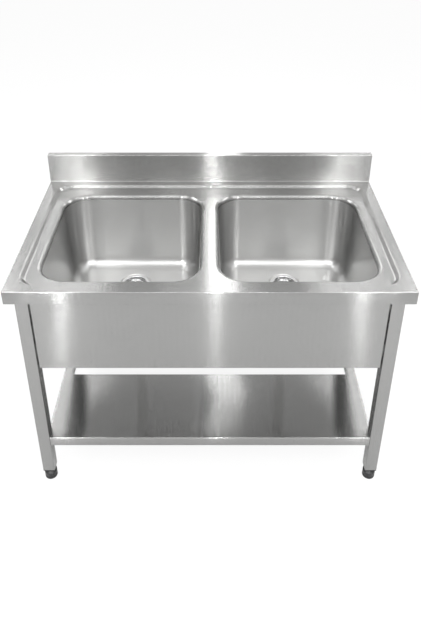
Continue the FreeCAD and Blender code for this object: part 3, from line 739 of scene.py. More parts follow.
def grain_group() -> bpy.types.NodeTree:
    """Brushed grain: scratches along the grain map, which lean the surface across them.

    Each fine scratch turns the normal about its own line, so a lamp's reflection is drawn out across the
    grain and stays narrow along it, as on brushed sheet.
    """
    group, given, sink = shader_group(
        "brushed grain",
        [("Grain", "Vector"), ("Tangent", "Vector"), ("Length", "Float"), ("Width", "Float"),
         ("Spread", "Float")],
        [("Mask", "Float"), ("Normal", "Vector")],
    )
    shader = Shader(group)
    split = shader.node("SeparateXYZ", {0: given["Grain"]})
    layers = []
    for stretch, breadth in ((1.0, 1.0), (4.0, 8.0)):
        along = shader.math("DIVIDE", shader.math("DIVIDE", split.outputs[0], given["Length"]), stretch)
        across = shader.math("DIVIDE", shader.math("DIVIDE", split.outputs[1], given["Width"]), breadth)
        spot = shader.node("CombineXYZ", {0: along, 1: across})
        noise = shader.node(
            "TexNoise", {"Vector": spot.outputs[0]}, noise_dimensions="2D", Scale=1.0, Detail=2.0
        )
        layers.append(noise.outputs[0])
    both = shader.math("ADD", *(shader.math("MULTIPLY", layer, 0.5) for layer in layers))
    group.links.new(shader.spread(both, 0.35, 0.65, 0.0, 1.0), sink.inputs["Mask"])
    shape = shader.node("NewGeometry")
    side = shader.node(
        "VectorMath", {0: shape.outputs["Normal"], 1: given["Tangent"]}, operation="CROSS_PRODUCT"
    )
    lean = shader.math("MULTIPLY", shader.math("SUBTRACT", layers[0], 0.5), given["Spread"])
    push = shader.node("VectorMath", {0: side.outputs[0]}, operation="SCALE")
    group.links.new(lean, push.inputs["Scale"])
    turned = shader.node("VectorMath", {0: shape.outputs["Normal"], 1: push.outputs[0]}, operation="ADD")
    unit = shader.node("VectorMath", {0: turned.outputs[0]}, operation="NORMALIZE")
    group.links.new(unit.outputs[0], sink.inputs["Normal"])
    return group


def handling_group() -> bpy.types.NodeTree:
    """Marks of use: soft smudges, and small dried drops."""
    group, given, sink = shader_group(
        "handling marks",
        [("Place", "Vector"), ("Smudge Size", "Float"), ("Drop Size", "Float")],
        [("Smudges", "Float"), ("Drops", "Float")],
    )
    shader = Shader(group)
    wide = shader.node("VectorMath", {0: given["Place"]}, operation="SCALE")
    group.links.new(shader.math("DIVIDE", 1.0, given["Smudge Size"]), wide.inputs["Scale"])
    smudge = shader.node("TexNoise", {"Vector": wide.outputs[0]}, Scale=1.0, Detail=4.0, Distortion=0.6)
    group.links.new(shader.spread(smudge.outputs[0], 0.5, 0.72, 0.0, 1.0), sink.inputs["Smudges"])
    fine = shader.node("VectorMath", {0: given["Place"]}, operation="SCALE")
    group.links.new(shader.math("DIVIDE", 1.0, given["Drop Size"]), fine.inputs["Scale"])
    cells = shader.node("TexVoronoi", {"Vector": fine.outputs[0]}, Scale=1.0, Randomness=1.0)
    rim = shader.math("ABSOLUTE", shader.math("SUBTRACT", cells.outputs["Distance"], 0.22))
    group.links.new(shader.spread(rim, 0.0, 0.05, 1.0, 0.0), sink.inputs["Drops"])
    return group


def waviness_group() -> bpy.types.NodeTree:
    """Slow unevenness of thin sheet, as a height in metres."""
    group, given, sink = shader_group(
        "sheet waviness", [("Place", "Vector"), ("Span", "Float"), ("Depth", "Float")], [("Height", "Float")]
    )
    shader = Shader(group)
    scaled = shader.node("VectorMath", {0: given["Place"]}, operation="SCALE")
    group.links.new(shader.math("DIVIDE", 1.0, given["Span"]), scaled.inputs["Scale"])
    noise = shader.node("TexNoise", {"Vector": scaled.outputs[0]}, Scale=1.0, Detail=1.0)
    group.links.new(shader.math("MULTIPLY", noise.outputs[0], given["Depth"]), sink.inputs["Height"])
    return group


@dataclass(frozen=True)
class SteelFinish:
    """Stainless or plated steel, brushed along its grain map."""

    name: str
    colour: tuple[float, float, float]
    roughness: float
    stretch: float
    grain_length: float = 18.0
    grain_width: float = 0.12
    spread: float = 1.6
    wave_span: float = 130.0
    wave_depth: float = 0.1
    contrast: float = 1.0
    smudge: float = 0.03
    smudge_size: float = 0.18
    drops: float = 0.0
    drop_size: float = 0.022

    def material(self, groups: dict[str, bpy.types.NodeTree]) -> bpy.types.Material:
        """Builds the material.

        Args:
            groups: the shared shader groups by name.

        Returns:
            A metallic material whose highlights are drawn out across the grain.
        """
        made, shader, surface = new_material(self.name)
        grain_map = shader.node("UVMap", uv_map=GRAIN_MAP)
        place = shader.node("TexCoord")
        tangent = shader.node("Tangent", direction_type="UV_MAP", uv_map=GRAIN_MAP)
        grain = shader.node(
            "Group", {"Grain": grain_map.outputs[0], "Tangent": tangent.outputs[0]},
            node_tree=groups["grain"], Spread=self.spread,
            Length=self.grain_length * MM, Width=self.grain_width * MM,
        )
        marks = shader.node(
            "Group", {"Place": place.outputs["Object"]}, node_tree=groups["handling"],
            Smudge_Size=self.smudge_size, Drop_Size=self.drop_size,
        )
        waves = shader.node(
            "Group", {"Place": place.outputs["Object"]}, node_tree=groups["waviness"],
            Span=self.wave_span * MM, Depth=self.wave_depth * MM,
        )
        tint = shader.node("Mix", data_type="RGBA", blend_type="MIX")
        shade = tuple((1.0 - 0.06 * self.contrast) * value for value in self.colour)
        light = tuple(min(1.0, (1.0 + 0.05 * self.contrast) * value) for value in self.colour)
        tint.inputs[6].default_value = (*shade, 1.0)
        tint.inputs[7].default_value = (*light, 1.0)
        shader.feed(tint, {0: grain.outputs["Mask"]})
        swing = 0.03 * self.contrast
        rough = shader.spread(grain.outputs["Mask"], 0.0, 1.0, self.roughness - swing, self.roughness + swing)
        rough = shader.math("ADD", rough, shader.math("MULTIPLY", marks.outputs["Smudges"], self.smudge))
        rough = shader.math("ADD", rough, shader.math("MULTIPLY", marks.outputs["Drops"], self.drops), True)
        relief = {"Height": waves.outputs["Height"], "Normal": grain.outputs["Normal"]}
        bump = shader.node("Bump", relief, Strength=1.0, Distance=1.0)
        shader.feed(surface, {"Base Color": tint.outputs[2], "Roughness": rough, "Normal": bump.outputs[0]})
        if self.stretch:
            shader.feed(surface, {"Tangent": tangent.outputs[0]})
            surface.inputs["Anisotropic"].default_value = self.stretch
            surface.inputs["Anisotropic Rotation"].default_value = 0.25
        surface.inputs["Metallic"].default_value = 1.0
        return made


@dataclass(frozen=True)
class MouldedFinish:
    """Moulded plastic or rubber with a fine spark-eroded texture."""

    name: str
    colour: tuple[float, float, float]
    roughness: float
    texture_size: float = 0.8
    texture_depth: float = 0.03
    dust: float = 0.1
    smudge_size: float = 0.012
    drop_size: float = 0.006

    def material(self, groups: dict[str, bpy.types.NodeTree]) -> bpy.types.Material:
        """Builds the material from the shared shader groups."""
        made, shader, surface = new_material(self.name)
        place = shader.node("TexCoord")
        marks = shader.node(
            "Group", {"Place": place.outputs["Object"]}, node_tree=groups["handling"],
            Smudge_Size=self.smudge_size, Drop_Size=self.drop_size,
        )
        grit = shader.node("TexNoise", {"Vector": place.outputs["Object"]}, Detail=3.0)
        grit.inputs["Scale"].default_value = 1.0 / (self.texture_size * MM)
        tint = shader.node("Mix", data_type="RGBA", blend_type="MIX")
        tint.inputs[6].default_value = (*self.colour, 1.0)
        tint.inputs[7].default_value = (*(0.85 * value + 0.05 for value in self.colour), 1.0)
        shader.feed(tint, {0: shader.math("MULTIPLY", marks.outputs["Smudges"], self.dust)})
        rough = shader.spread(grit.outputs[0], 0.3, 0.7, self.roughness - 0.08, self.roughness + 0.08)
        height = shader.math("MULTIPLY", grit.outputs[0], self.texture_depth * MM)
        bump = shader.node("Bump", {"Height": height}, Strength=1.0, Distance=1.0)
        shader.feed(surface, {"Base Color": tint.outputs[2], "Roughness": rough, "Normal": bump.outputs[0]})
        return made


FINISHES = {
    "brushed_sheet": SteelFinish("brushed sheet", (0.36, 0.36, 0.355), 0.20, 1.0),
    "bowl_steel": SteelFinish(
        "bowl steel", (0.53, 0.53, 0.525), 0.29, 0.9,
        wave_depth=0.015, spread=0.5, contrast=0.35, smudge=0.0, drops=0.02,
    ),
    "brushed_tube": SteelFinish("brushed tube", (0.365, 0.365, 0.36), 0.24, 0.9, spread=1.0),
    "polished_steel": SteelFinish("polished steel", (0.6, 0.6, 0.6), 0.16, 0.3, wave_depth=0.0, spread=0.2),
    "fasteners": SteelFinish(
        "plated fasteners", (0.5, 0.5, 0.5), 0.3, 0.0, wave_depth=0.0, spread=0.2, smudge=0.1
    ),
    "rubber": MouldedFinish("rubber", (0.025, 0.025, 0.026), 0.65, dust=0.3),
    "waste_plastic": MouldedFinish("waste plastic", (0.78, 0.78, 0.76), 0.42),
    "foot_plastic": MouldedFinish("foot plastic", (0.022, 0.022, 0.023), 0.38, texture_depth=0.012, dust=0.2),
}


class Finishes:
    """Every material of the unit by its slot, made from the shared shader groups."""

    def __init__(self) -> None:
        """Builds the groups and the materials."""
        groups = {"grain": grain_group(), "handling": handling_group(), "waviness": waviness_group()}
        self.by_slot = {slot: finish.material(groups) for slot, finish in FINISHES.items()}

    def dress(self, piece: bpy.types.Object, slot: str) -> None:
        """Gives a piece its one material."""
        piece.data.materials.clear()
        piece.data.materials.append(self.by_slot[slot])


@dataclass
class Workshop:
    """What every sub-assembly needs to hand over a finished piece."""

    finishes: Finishes
    made: int = 0

    def hand_over(self, piece: bpy.types.Object, body: str, slot: str, *nodes: str) -> None:
        """Dresses a piece, sets it on its body and lets it stand for CAD nodes.

        Args:
            piece: the finished mesh object at the origin.
            body: the body that it moves with.
            slot: the record's material slot.
            nodes: the CAD nodes that it stands for.
        """
        self.finishes.dress(piece, slot)
        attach(piece, body)
        if nodes:
            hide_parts(*nodes)
        self.made += 1
        log.info("%s: %d faces, on %s", piece.name, len(piece.data.polygons), body)


# ---------------------------------------------------------------- the worktop
@dataclass
class Worktop:
    """The pressed top: rim, sloped step, recessed deck, lips all round and the rear upstand."""

    half_width: float = 600.0
    front: float = -350.0
    wall: float = 325.0
    back: float = 350.0
    rim_height: float = 830.0
    top_height: float = 940.0
    lip_low: float = 786.0
    lip_return: float = 12.0
    fold: float = 2.5
    sheet: float = 1.5
    rim_side: float = 33.5
    rim_front: float = 29.5
    rim_rear: float = 24.0
    step_run: float = 15.0
    step_drop: float = 9.0
    step_corner: float = 60.0
    step_round: float = 6.0
    deck_bend: float = 11.0
    guard: float = 1.2
    hook: float = 20.0
    fold_steps: int = 5

    def half(self, inset: float) -> Outline:
        """Right half of the step's outline, in by inset from the step's top edge."""
        outline = Outline(
            0.0,
            self.half_width - self.rim_side,
            self.front + self.rim_front,
            self.wall - self.rim_rear,
            (0.0, self.step_corner, self.step_corner, 0.0),
        )
        return outline.inset(0.0, inset, inset, inset)

    def step_section(self) -> Profile:
        """Points (run, drop) down the step: a small rounding, the straight slope, a small rounding."""
        slope = 2 * math.atan(self.step_drop / (self.step_run + math.sqrt(
            self.step_run ** 2 + self.step_drop ** 2 - 4 * self.step_round * self.step_drop)))
        points = []
        for step in range(self.fold_steps + 1):
            turn = slope * step / self.fold_steps
            run = self.step_round * math.sin(turn)
            points.append((run, self.step_round * (1 - math.cos(turn))))
        last_run, last_drop = points[-1]
        shift = self.step_run - 2 * last_run
        scale = (self.step_drop - 2 * last_drop) / shift
        middle = [(last_run + shift * share, last_drop + shift * share * scale) for share in (0.34, 0.67)]
        mirrored = [(self.step_run - run, self.step_drop - drop) for run, drop in reversed(points)]
        return points + middle + mirrored

    def mouth_rings(self, bowl: "Bowl") -> list[Ring]:
        """Rings from the flat deck over the bend and down the collar to the weld."""
        deck = self.rim_height - self.step_drop
        rings = [bowl.outline(0.0, self.deck_bend + self.guard).ring(deck)]
        for step in range(self.fold_steps * 2 + 1):
            turn = math.pi / 2 * step / (self.fold_steps * 2)
            depth = self.deck_bend * (1 - math.cos(turn))
            outset = self.deck_bend * (1 - math.sin(turn))
            rings.append(bowl.outline(depth, outset).ring(deck - depth))
        rings.append(bowl.outline(bowl.weld_depth, 0.0).ring(deck - bowl.weld_depth))
        return rings

    def fold_turns(self) -> list[float]:
        """The turns at which a fold of 90 degrees has its points."""
        return [math.pi / 2 * step / self.fold_steps for step in range(self.fold_steps + 1)]

    def lip_rings(self) -> list[Ring]:
        """Rings over the outer fold, down the lip, under its lower fold and along the return."""
        corner = self.rim_outline(0.0, 0.0)
        span = corner.open_span()
        end = corner.arc_steps * 2 + corner.side_steps * 2 + 2
        rings = []
        steps = self.fold_turns()
        places = [(self.fold * (1 - math.sin(t)), self.rim_height - self.fold * (1 - math.cos(t)),
                   self.fold * math.sin(t)) for t in steps]
        places.append((0.0, self.lip_low + self.fold + self.guard, self.fold))
        places += [(self.fold * (1 - math.cos(t)), self.lip_low + self.fold * (1 - math.sin(t)),
                    self.fold * math.cos(t)) for t in steps]
        places.append((self.sheet + self.lip_return, self.lip_low, 0.0))
        for inset, height, radius in places:
            ring = self.rim_outline(inset, radius).ring(height)[span.start:end]
            tail = ring[-1].copy()
            tail.y = (self.wall + self.sheet) * MM
            rings.append(ring + [tail])
        return rings

    def rim_outline(self, inset: float, radius: float) -> Outline:
        """Right half of the unit's outline, in by inset at the front and side."""
        return Outline(
            0.0, self.half_width - inset, self.front + inset, self.wall - self.fold, (0.0, radius, 0.0, 0.0)
        )

    def upstand_profile(self) -> Profile:
        """Section of the upstand from the rim, up its face, over the return and down the hook."""
        bend = self.fold
        steps = self.fold_turns()
        low, high = self.rim_height, self.top_height
        section = [(self.wall - bend + bend * math.sin(t), low + bend * (1 - math.cos(t))) for t in steps]
        section.append((self.wall, low + bend + self.guard))
        section.append((self.wall, high - bend - self.guard))
        section += [(self.wall + bend * (1 - math.cos(t)), high - bend * (1 - math.sin(t))) for t in steps]
        section.append((self.wall + bend + self.guard, high))
        section.append((self.back - bend - self.guard, high))
        section += [(self.back - bend * (1 - math.sin(t)), high - bend * (1 - math.cos(t))) for t in steps]
        section.append((self.back, high - bend - self.guard))
        section.append((self.back, high - self.hook))
        return section

    def build(self, shop: Workshop, bowl: "Bowl") -> None:
        """Makes the sheet and its welded end plates as one piece."""
        surface = Surface()
        deck = self.rim_height - self.step_drop
        guard_out = self.half(-self.guard)
        guard_in = self.half(self.step_run + self.guard)
        span = guard_out.open_span()
        step_rings = [guard_out.ring(self.rim_height)[span]]
        for run, drop in self.step_section():
            step_rings.append(self.half(run).ring(self.rim_height - drop)[span])
        step_rings.append(guard_in.ring(deck)[span])
        surface.bands(step_rings, closed=False)
        inner_edge = self.rim_outline(self.fold + self.guard, 0.0)
        rim_edge = inner_edge.ring(self.rim_height)[span]
        outer_edge = self.rim_outline(self.fold, 0.0).ring(self.rim_height)[span]
        for point in rim_edge:
            point.y = min(point.y, (self.wall - self.fold) * MM)
        surface.flat_band(rim_edge, step_rings[0], closed=False)
        surface.flat_band(outer_edge, rim_edge, closed=False)
        mouth = self.mouth_rings(bowl)
        surface.flat_band(guard_in.ring(deck), mouth[0], closed=True)
        surface.bands(mouth, closed=True)
        surface.bands(self.lip_rings(), closed=False)
        rear = outer_edge[-guard_out.side_steps - 1:]
        stops = sorted({round(point.x, 9) for point in rear} | {(self.half_width - self.sheet) * MM})
        section = self.upstand_profile()
        lines = [[Vector((x, y * MM, z * MM)) for x in stops] for y, z in section]
        surface.bands(lines, closed=False)
        surface.mirrored()
        piece = thicken(surface.to_object("worktop_sheet", (0, 0, 1)), self.sheet)
        self.add_end_plates(piece)
        shop.hand_over(smooth(piece), "frame", "brushed_sheet", "worktop")

    def add_end_plates(self, piece: bpy.types.Object) -> None:
        """Joins the two plates that close the upstand's ends."""
        low = self.rim_height - self.sheet
        outline = [(y, z) for y, z in self.upstand_profile() if z > low][:-1]
        outline += [(self.back, low), (self.wall - self.fold, low)]
        with editing(piece.data) as work:
            layer = work.loops.layers.uv[GRAIN_MAP]
            for side in SIDES.values():
                near, far = (
                    [work.verts.new((side * x * MM, y * MM, z * MM)) for y, z in outline]
                    for x in (self.half_width, self.half_width - self.sheet)
                )
                made = [work.faces.new(near), work.faces.new(far[::-1])]
                for index in range(len(outline)):
                    after = (index + 1) % len(outline)
                    made.append(work.faces.new((near[index], far[index], far[after], near[after])))
                bmesh.ops.recalc_face_normals(work, faces=made)
                for face in made:
                    for loop in face.loops:
                        loop[layer].uv = (loop.vert.co.y, loop.vert.co.z)


# ---------------------------------------------------------------- a bowl
@dataclass
class Bowl:
    """One deep-drawn bowl below its weld: leaning walls, round floor edge, recess for the waste."""

    centre_x: float = 273.5
    front: float = -280.0
    rear: float = 230.0
    width: float = 487.0
    corner: float = 85.0
    deck_height: float = 821.0
    floor_height: float = 528.0
    draft: float = 13.0
    floor_radius: float = 35.0
    weld_depth: float = 16.0
    waste_y: float = 97.0
    recess_radius: float = 56.0
    recess_blend: float = 3.0
    recess_depth: float = 3.0
    hole_radius: float = 42.3
    sheet: float = 1.5

    @property
    def depth(self) -> float:
        """Depth of the floor below the recessed deck."""
        return self.deck_height - self.floor_height

    def outline(self, depth: float, outset: float) -> Outline:
        """The right bowl's inside at a depth below the deck, out by outset."""
        lean = self.draft * depth / self.depth - outset
        half = self.width / 2 - lean
        return Outline(
            self.centre_x - half,
            self.centre_x + half,
            self.front + lean,
            self.rear - lean,
            (self.corner - lean,) * 4,
        )

    def wall_rings(self) -> list[Ring]:
        """Rings from the weld down the wall and round the floor's edge to the flat floor."""
        lean = self.draft / self.depth
        centre_depth = self.depth - self.floor_radius
        centre_inset = lean * centre_depth + self.floor_radius * math.hypot(1, lean)
        start = math.atan(lean)
        last = centre_depth + self.floor_radius * math.sin(start)
        rings = []
        for step in range(9):
            depth = self.weld_depth + (last - self.weld_depth) * step / 8
            rings.append(self.outline(depth, 0.0).ring(self.deck_height - depth))
        for step in range(1, 11):
            turn = start + (math.pi / 2 - start) * step / 10
            depth = centre_depth + self.floor_radius * math.sin(turn)
            inset = centre_inset - self.floor_radius * math.cos(turn)
            rings.append(self.outline(0.0, -inset).ring(self.deck_height - depth))
        rings.append(self.outline(0.0, -centre_inset - 1.5).ring(self.floor_height))
        return rings

    def build(self, shop: Workshop) -> None:
        """Makes the left and the right bowl."""
        for label, side in SIDES.items():
            surface = Surface()
            walls = self.wall_rings()
            surface.bands(walls, closed=True)
            like = self.outline(0.0, 0.0)
            centre = (self.centre_x, self.waste_y)
            blend = self.recess_blend
            edge = [(self.recess_radius + blend, 0.0)]
            for step in range(7):
                share = step / 6
                drop = self.recess_depth * share ** 2 * (3 - 2 * share)
                edge.append((self.recess_radius + blend * (0.5 - share), drop))
            edge.append((self.recess_radius - blend, self.recess_depth))
            edge.append((self.hole_radius, self.recess_depth))
            rings = [circle(centre, radius, like).ring(self.floor_height - drop) for radius, drop in edge]
            surface.flat_band(walls[-1], rings[0], closed=True)
            surface.bands(rings, closed=True)
            if side < 0:
                surface.faces = [[Vector((-c.x, c.y, c.z)) for c in corners] for corners in surface.faces]
            piece = thicken(surface.to_object("bowl_shell_" + label, (0, 0, 1)), self.sheet)
            shop.hand_over(smooth(piece), "frame", "bowl_steel", "bowl_" + label)


# ---------------------------------------------------------------- wastes
@dataclass
class Waste:
    """The basket waste of each bowl, from the strainer's flange to the tailpiece."""

    centre_x: float = 273.5
    centre_y: float = 97.0
    flange_top: float = 528.5
    flange_low: float = 526.5
    flange_radius: float = 51.0
    cup_radius: float = 40.0
    cup_wall: float = 2.0
    seat_radius: float = 36.0
    ledge: float = 514.5
    cup_floor: float = 486.5
    spigot_radius: float = 24.0
    spigot_bore: float = 20.0
    spigot_low: float = 452.5
    basket_low: float = 496.0
    basket_height: float = 20.0
    basket_sheet: float = 1.2
    basket_floor: float = 26.0
    post_radius: float = 3.5
    post_height: float = 15.0
    knob_radius: float = 9.0
    knob_height: float = 5.0
    seal_radius: float = 24.5
    seal_thickness: float = 4.0
    play: float = 0.3
    tail_radius: float = 20.0
    tail_wall: float = 2.0
    neck_step: float = 0.5
    neck_length: float = 8.0
    tail_flange: float = 23.0
    tail_length: float = 110.0
    nut_radius: float = 29.0
    nut_height: float = 18.0
    lock_radius: float = 51.0
    lock_high: float = 519.0
    lock_height: float = 9.0
    lock_rib: tuple[float, float] = (9.0, 8.0)
    nut_rib: tuple[float, float] = (3.6, 3.0)
    floor_hole: float = 2.2
    wall_hole: float = 2.6
    inner_ring: float = 11.7
    outer_ring: float = 20.8
    wall_ring: float = 30.0
    wall_row: float = 10.0
    punch: float = 16.0

    def build(self, shop: Workshop) -> None:
        """Makes both wastes, each with its fixed pieces and its lift-out basket."""
        perforate, ribs = perforation_tree(), rib_tree()
        for label, side in SIDES.items():
            centre = (side * self.centre_x, self.centre_y)
            self.body(shop, label, centre)
            self.basket(shop, label, centre, perforate)
            self.below(shop, label, centre, ribs)

    def body(self, shop: Workshop, label: str, centre: Point) -> None:
        """The flanged cup with its ledge and threaded outlet."""
        outside = self.cup_radius + self.cup_wall
        profile = [
            (self.spigot_bore, self.spigot_low),
            (self.spigot_radius, self.spigot_low),
            (self.spigot_radius, self.cup_floor - self.cup_wall),
            (outside, self.cup_floor - self.cup_wall),
            (outside, self.flange_low),
            (self.flange_radius, self.flange_low),
            (self.flange_radius, self.flange_low + 0.9),
            (self.flange_radius - 2.0, self.flange_top),
            (self.cup_radius + 1.2, self.flange_top),
            (self.cup_radius, self.flange_top - 1.2),
            (self.cup_radius, self.ledge),
            (self.seat_radius, self.ledge),
            (self.seat_radius, self.cup_floor),
            (self.spigot_bore, self.cup_floor),
        ]
        piece = lathe("strainer_cup_" + label, rounded(profile, 0.9, 3), centre, 96)
        shop.hand_over(piece, "frame", "polished_steel", "strainer_body_" + label)

    def basket(self, shop: Workshop, label: str, centre: Point, perforate: Tree) -> None:
        """The perforated basket, its post with the knob, and the rubber seal under it."""
        body = "strainer_basket_" + label
        low, top = self.basket_low, self.basket_low + self.basket_height
        bore = self.post_radius + self.play
        wall_top = self.seat_radius - 2.0
        profile = [
            (bore, low),
            (self.basket_floor, low),
            (wall_top, top - self.basket_sheet),
            (self.cup_radius - 1.0, top - self.basket_sheet),
            (self.cup_radius - 1.0, top),
            (wall_top - self.basket_sheet, top),
            (self.basket_floor - 0.6, low + self.basket_sheet),
            (bore, low + self.basket_sheet),
        ]
        shape = lathe("basket_shell_" + label, rounded(profile, 0.8, 3, sharp=(0, 7)), centre, 80)
        perforate.apply(shape, {
            "Centre": (centre[0] * MM, centre[1] * MM, low * MM),
            "Floor Hole": self.floor_hole * MM,
            "Wall Hole": self.wall_hole * MM,
            "Inner Count": 8,
            "Inner Ring": self.inner_ring * MM,
            "Outer Count": 14,
            "Outer Ring": self.outer_ring * MM,
            "Wall Count": 16,
            "Wall Ring": self.wall_ring * MM,
            "Wall Height": self.wall_row * MM,
            "Reach": self.punch * MM,
            "Material": shop.finishes.by_slot["polished_steel"],
        })
        shop.hand_over(smooth(shape), body, "polished_steel", "basket_" + label)
        seal_low = low - self.seal_thickness
        knob_low = low + self.post_height
        knob_top = knob_low + self.knob_height
        post = [
            (0.0, seal_low - 2.0),
            (self.post_radius + 3.0, seal_low - 2.0),
            (self.post_radius + 3.0, seal_low),
            (self.post_radius, seal_low),
            (self.post_radius, knob_low),
            (self.knob_radius, knob_low),
            (self.knob_radius, knob_top),
            (0.0, knob_top),
        ]
        knob = lathe("basket_handle_" + label, rounded(post, 1.6, 5, sharp=(0, 3, 7)), centre, 48)
        shop.hand_over(knob, body, "polished_steel", "basket_knob_" + label)
        disc = [
            (bore, seal_low),
            (self.seal_radius - 2.0, seal_low),
            (self.seal_radius, seal_low + 2.0),
            (self.seal_radius, low),
            (bore, low),
        ]
        seal = lathe("seal_disc_" + label, rounded(disc, 0.7, 3, sharp=(0, 3, 4)), centre, 64)
        shop.hand_over(seal, body, "rubber", "basket_seal_" + label)

    def below(self, shop: Workshop, label: str, centre: Point, ribs: Tree) -> None:
        """The lock nut, the coupling nut with its ribs, and the tailpiece."""
        plastic = shop.finishes.by_slot["waste_plastic"]
        inner = self.cup_radius + self.cup_wall + self.play
        low = self.lock_high - self.lock_height
        high = self.lock_high
        ring = [(inner, low), (self.lock_radius, low), (self.lock_radius, high), (inner, high)]
        nut = lathe("lock_ring_" + label, rounded(ring, 1.0, 3), centre, 72)
        ribs.apply(nut, {
            "Count": 6,
            "Ring": (self.lock_radius + 0.5) * MM,
            "Rib": metres(*self.lock_rib, self.lock_height - 0.6),
            "Centre": metres(*centre, low + self.lock_height / 2),
            "Material": plastic,
        })
        round_edges(nut, 0.5, 2)
        shop.hand_over(smooth(map_grain(nut, Grain.ALONG_Z)), "frame", "waste_plastic", "lock_nut_" + label)
        shoulder = self.spigot_low - self.tail_wall
        low = shoulder - 3.0
        high = low + self.nut_height
        neck = self.tail_radius + self.neck_step
        profile = [
            (neck + self.play, low),
            (self.nut_radius, low),
            (self.nut_radius, high),
            (self.spigot_radius + self.play, high),
            (self.spigot_radius + self.play, shoulder),
            (neck + self.play, shoulder),
        ]
        nut = lathe("trap_nut_" + label, rounded(profile, 1.2, 3, sharp=(3, 4, 5)), centre, 72)
        ribs.apply(nut, {
            "Count": 12,
            "Ring": self.nut_radius * MM,
            "Rib": metres(*self.nut_rib, self.nut_height - 2.0),
            "Centre": metres(*centre, low + self.nut_height / 2),
            "Material": plastic,
        })
        nut = smooth(map_grain(nut, Grain.ALONG_Z))
        shop.hand_over(nut, "frame", "waste_plastic", "coupling_nut_" + label)
        bore = self.tail_radius - self.tail_wall
        end = self.spigot_low - self.tail_length
        profile = [
            (bore, end),
            (self.tail_radius, end),
            (self.tail_radius, shoulder - self.neck_length),
            (neck, shoulder - self.neck_length),
            (neck, shoulder),
            (self.tail_flange, shoulder),
            (self.tail_flange, self.spigot_low),
            (bore, self.spigot_low),
        ]
        tail = lathe("tail_pipe_" + label, rounded(profile, 0.6, 3, sharp=(2, 3, 4, 5, 6, 7)), centre, 64)
        shop.hand_over(tail, "frame", "waste_plastic", "tailpiece_" + label)


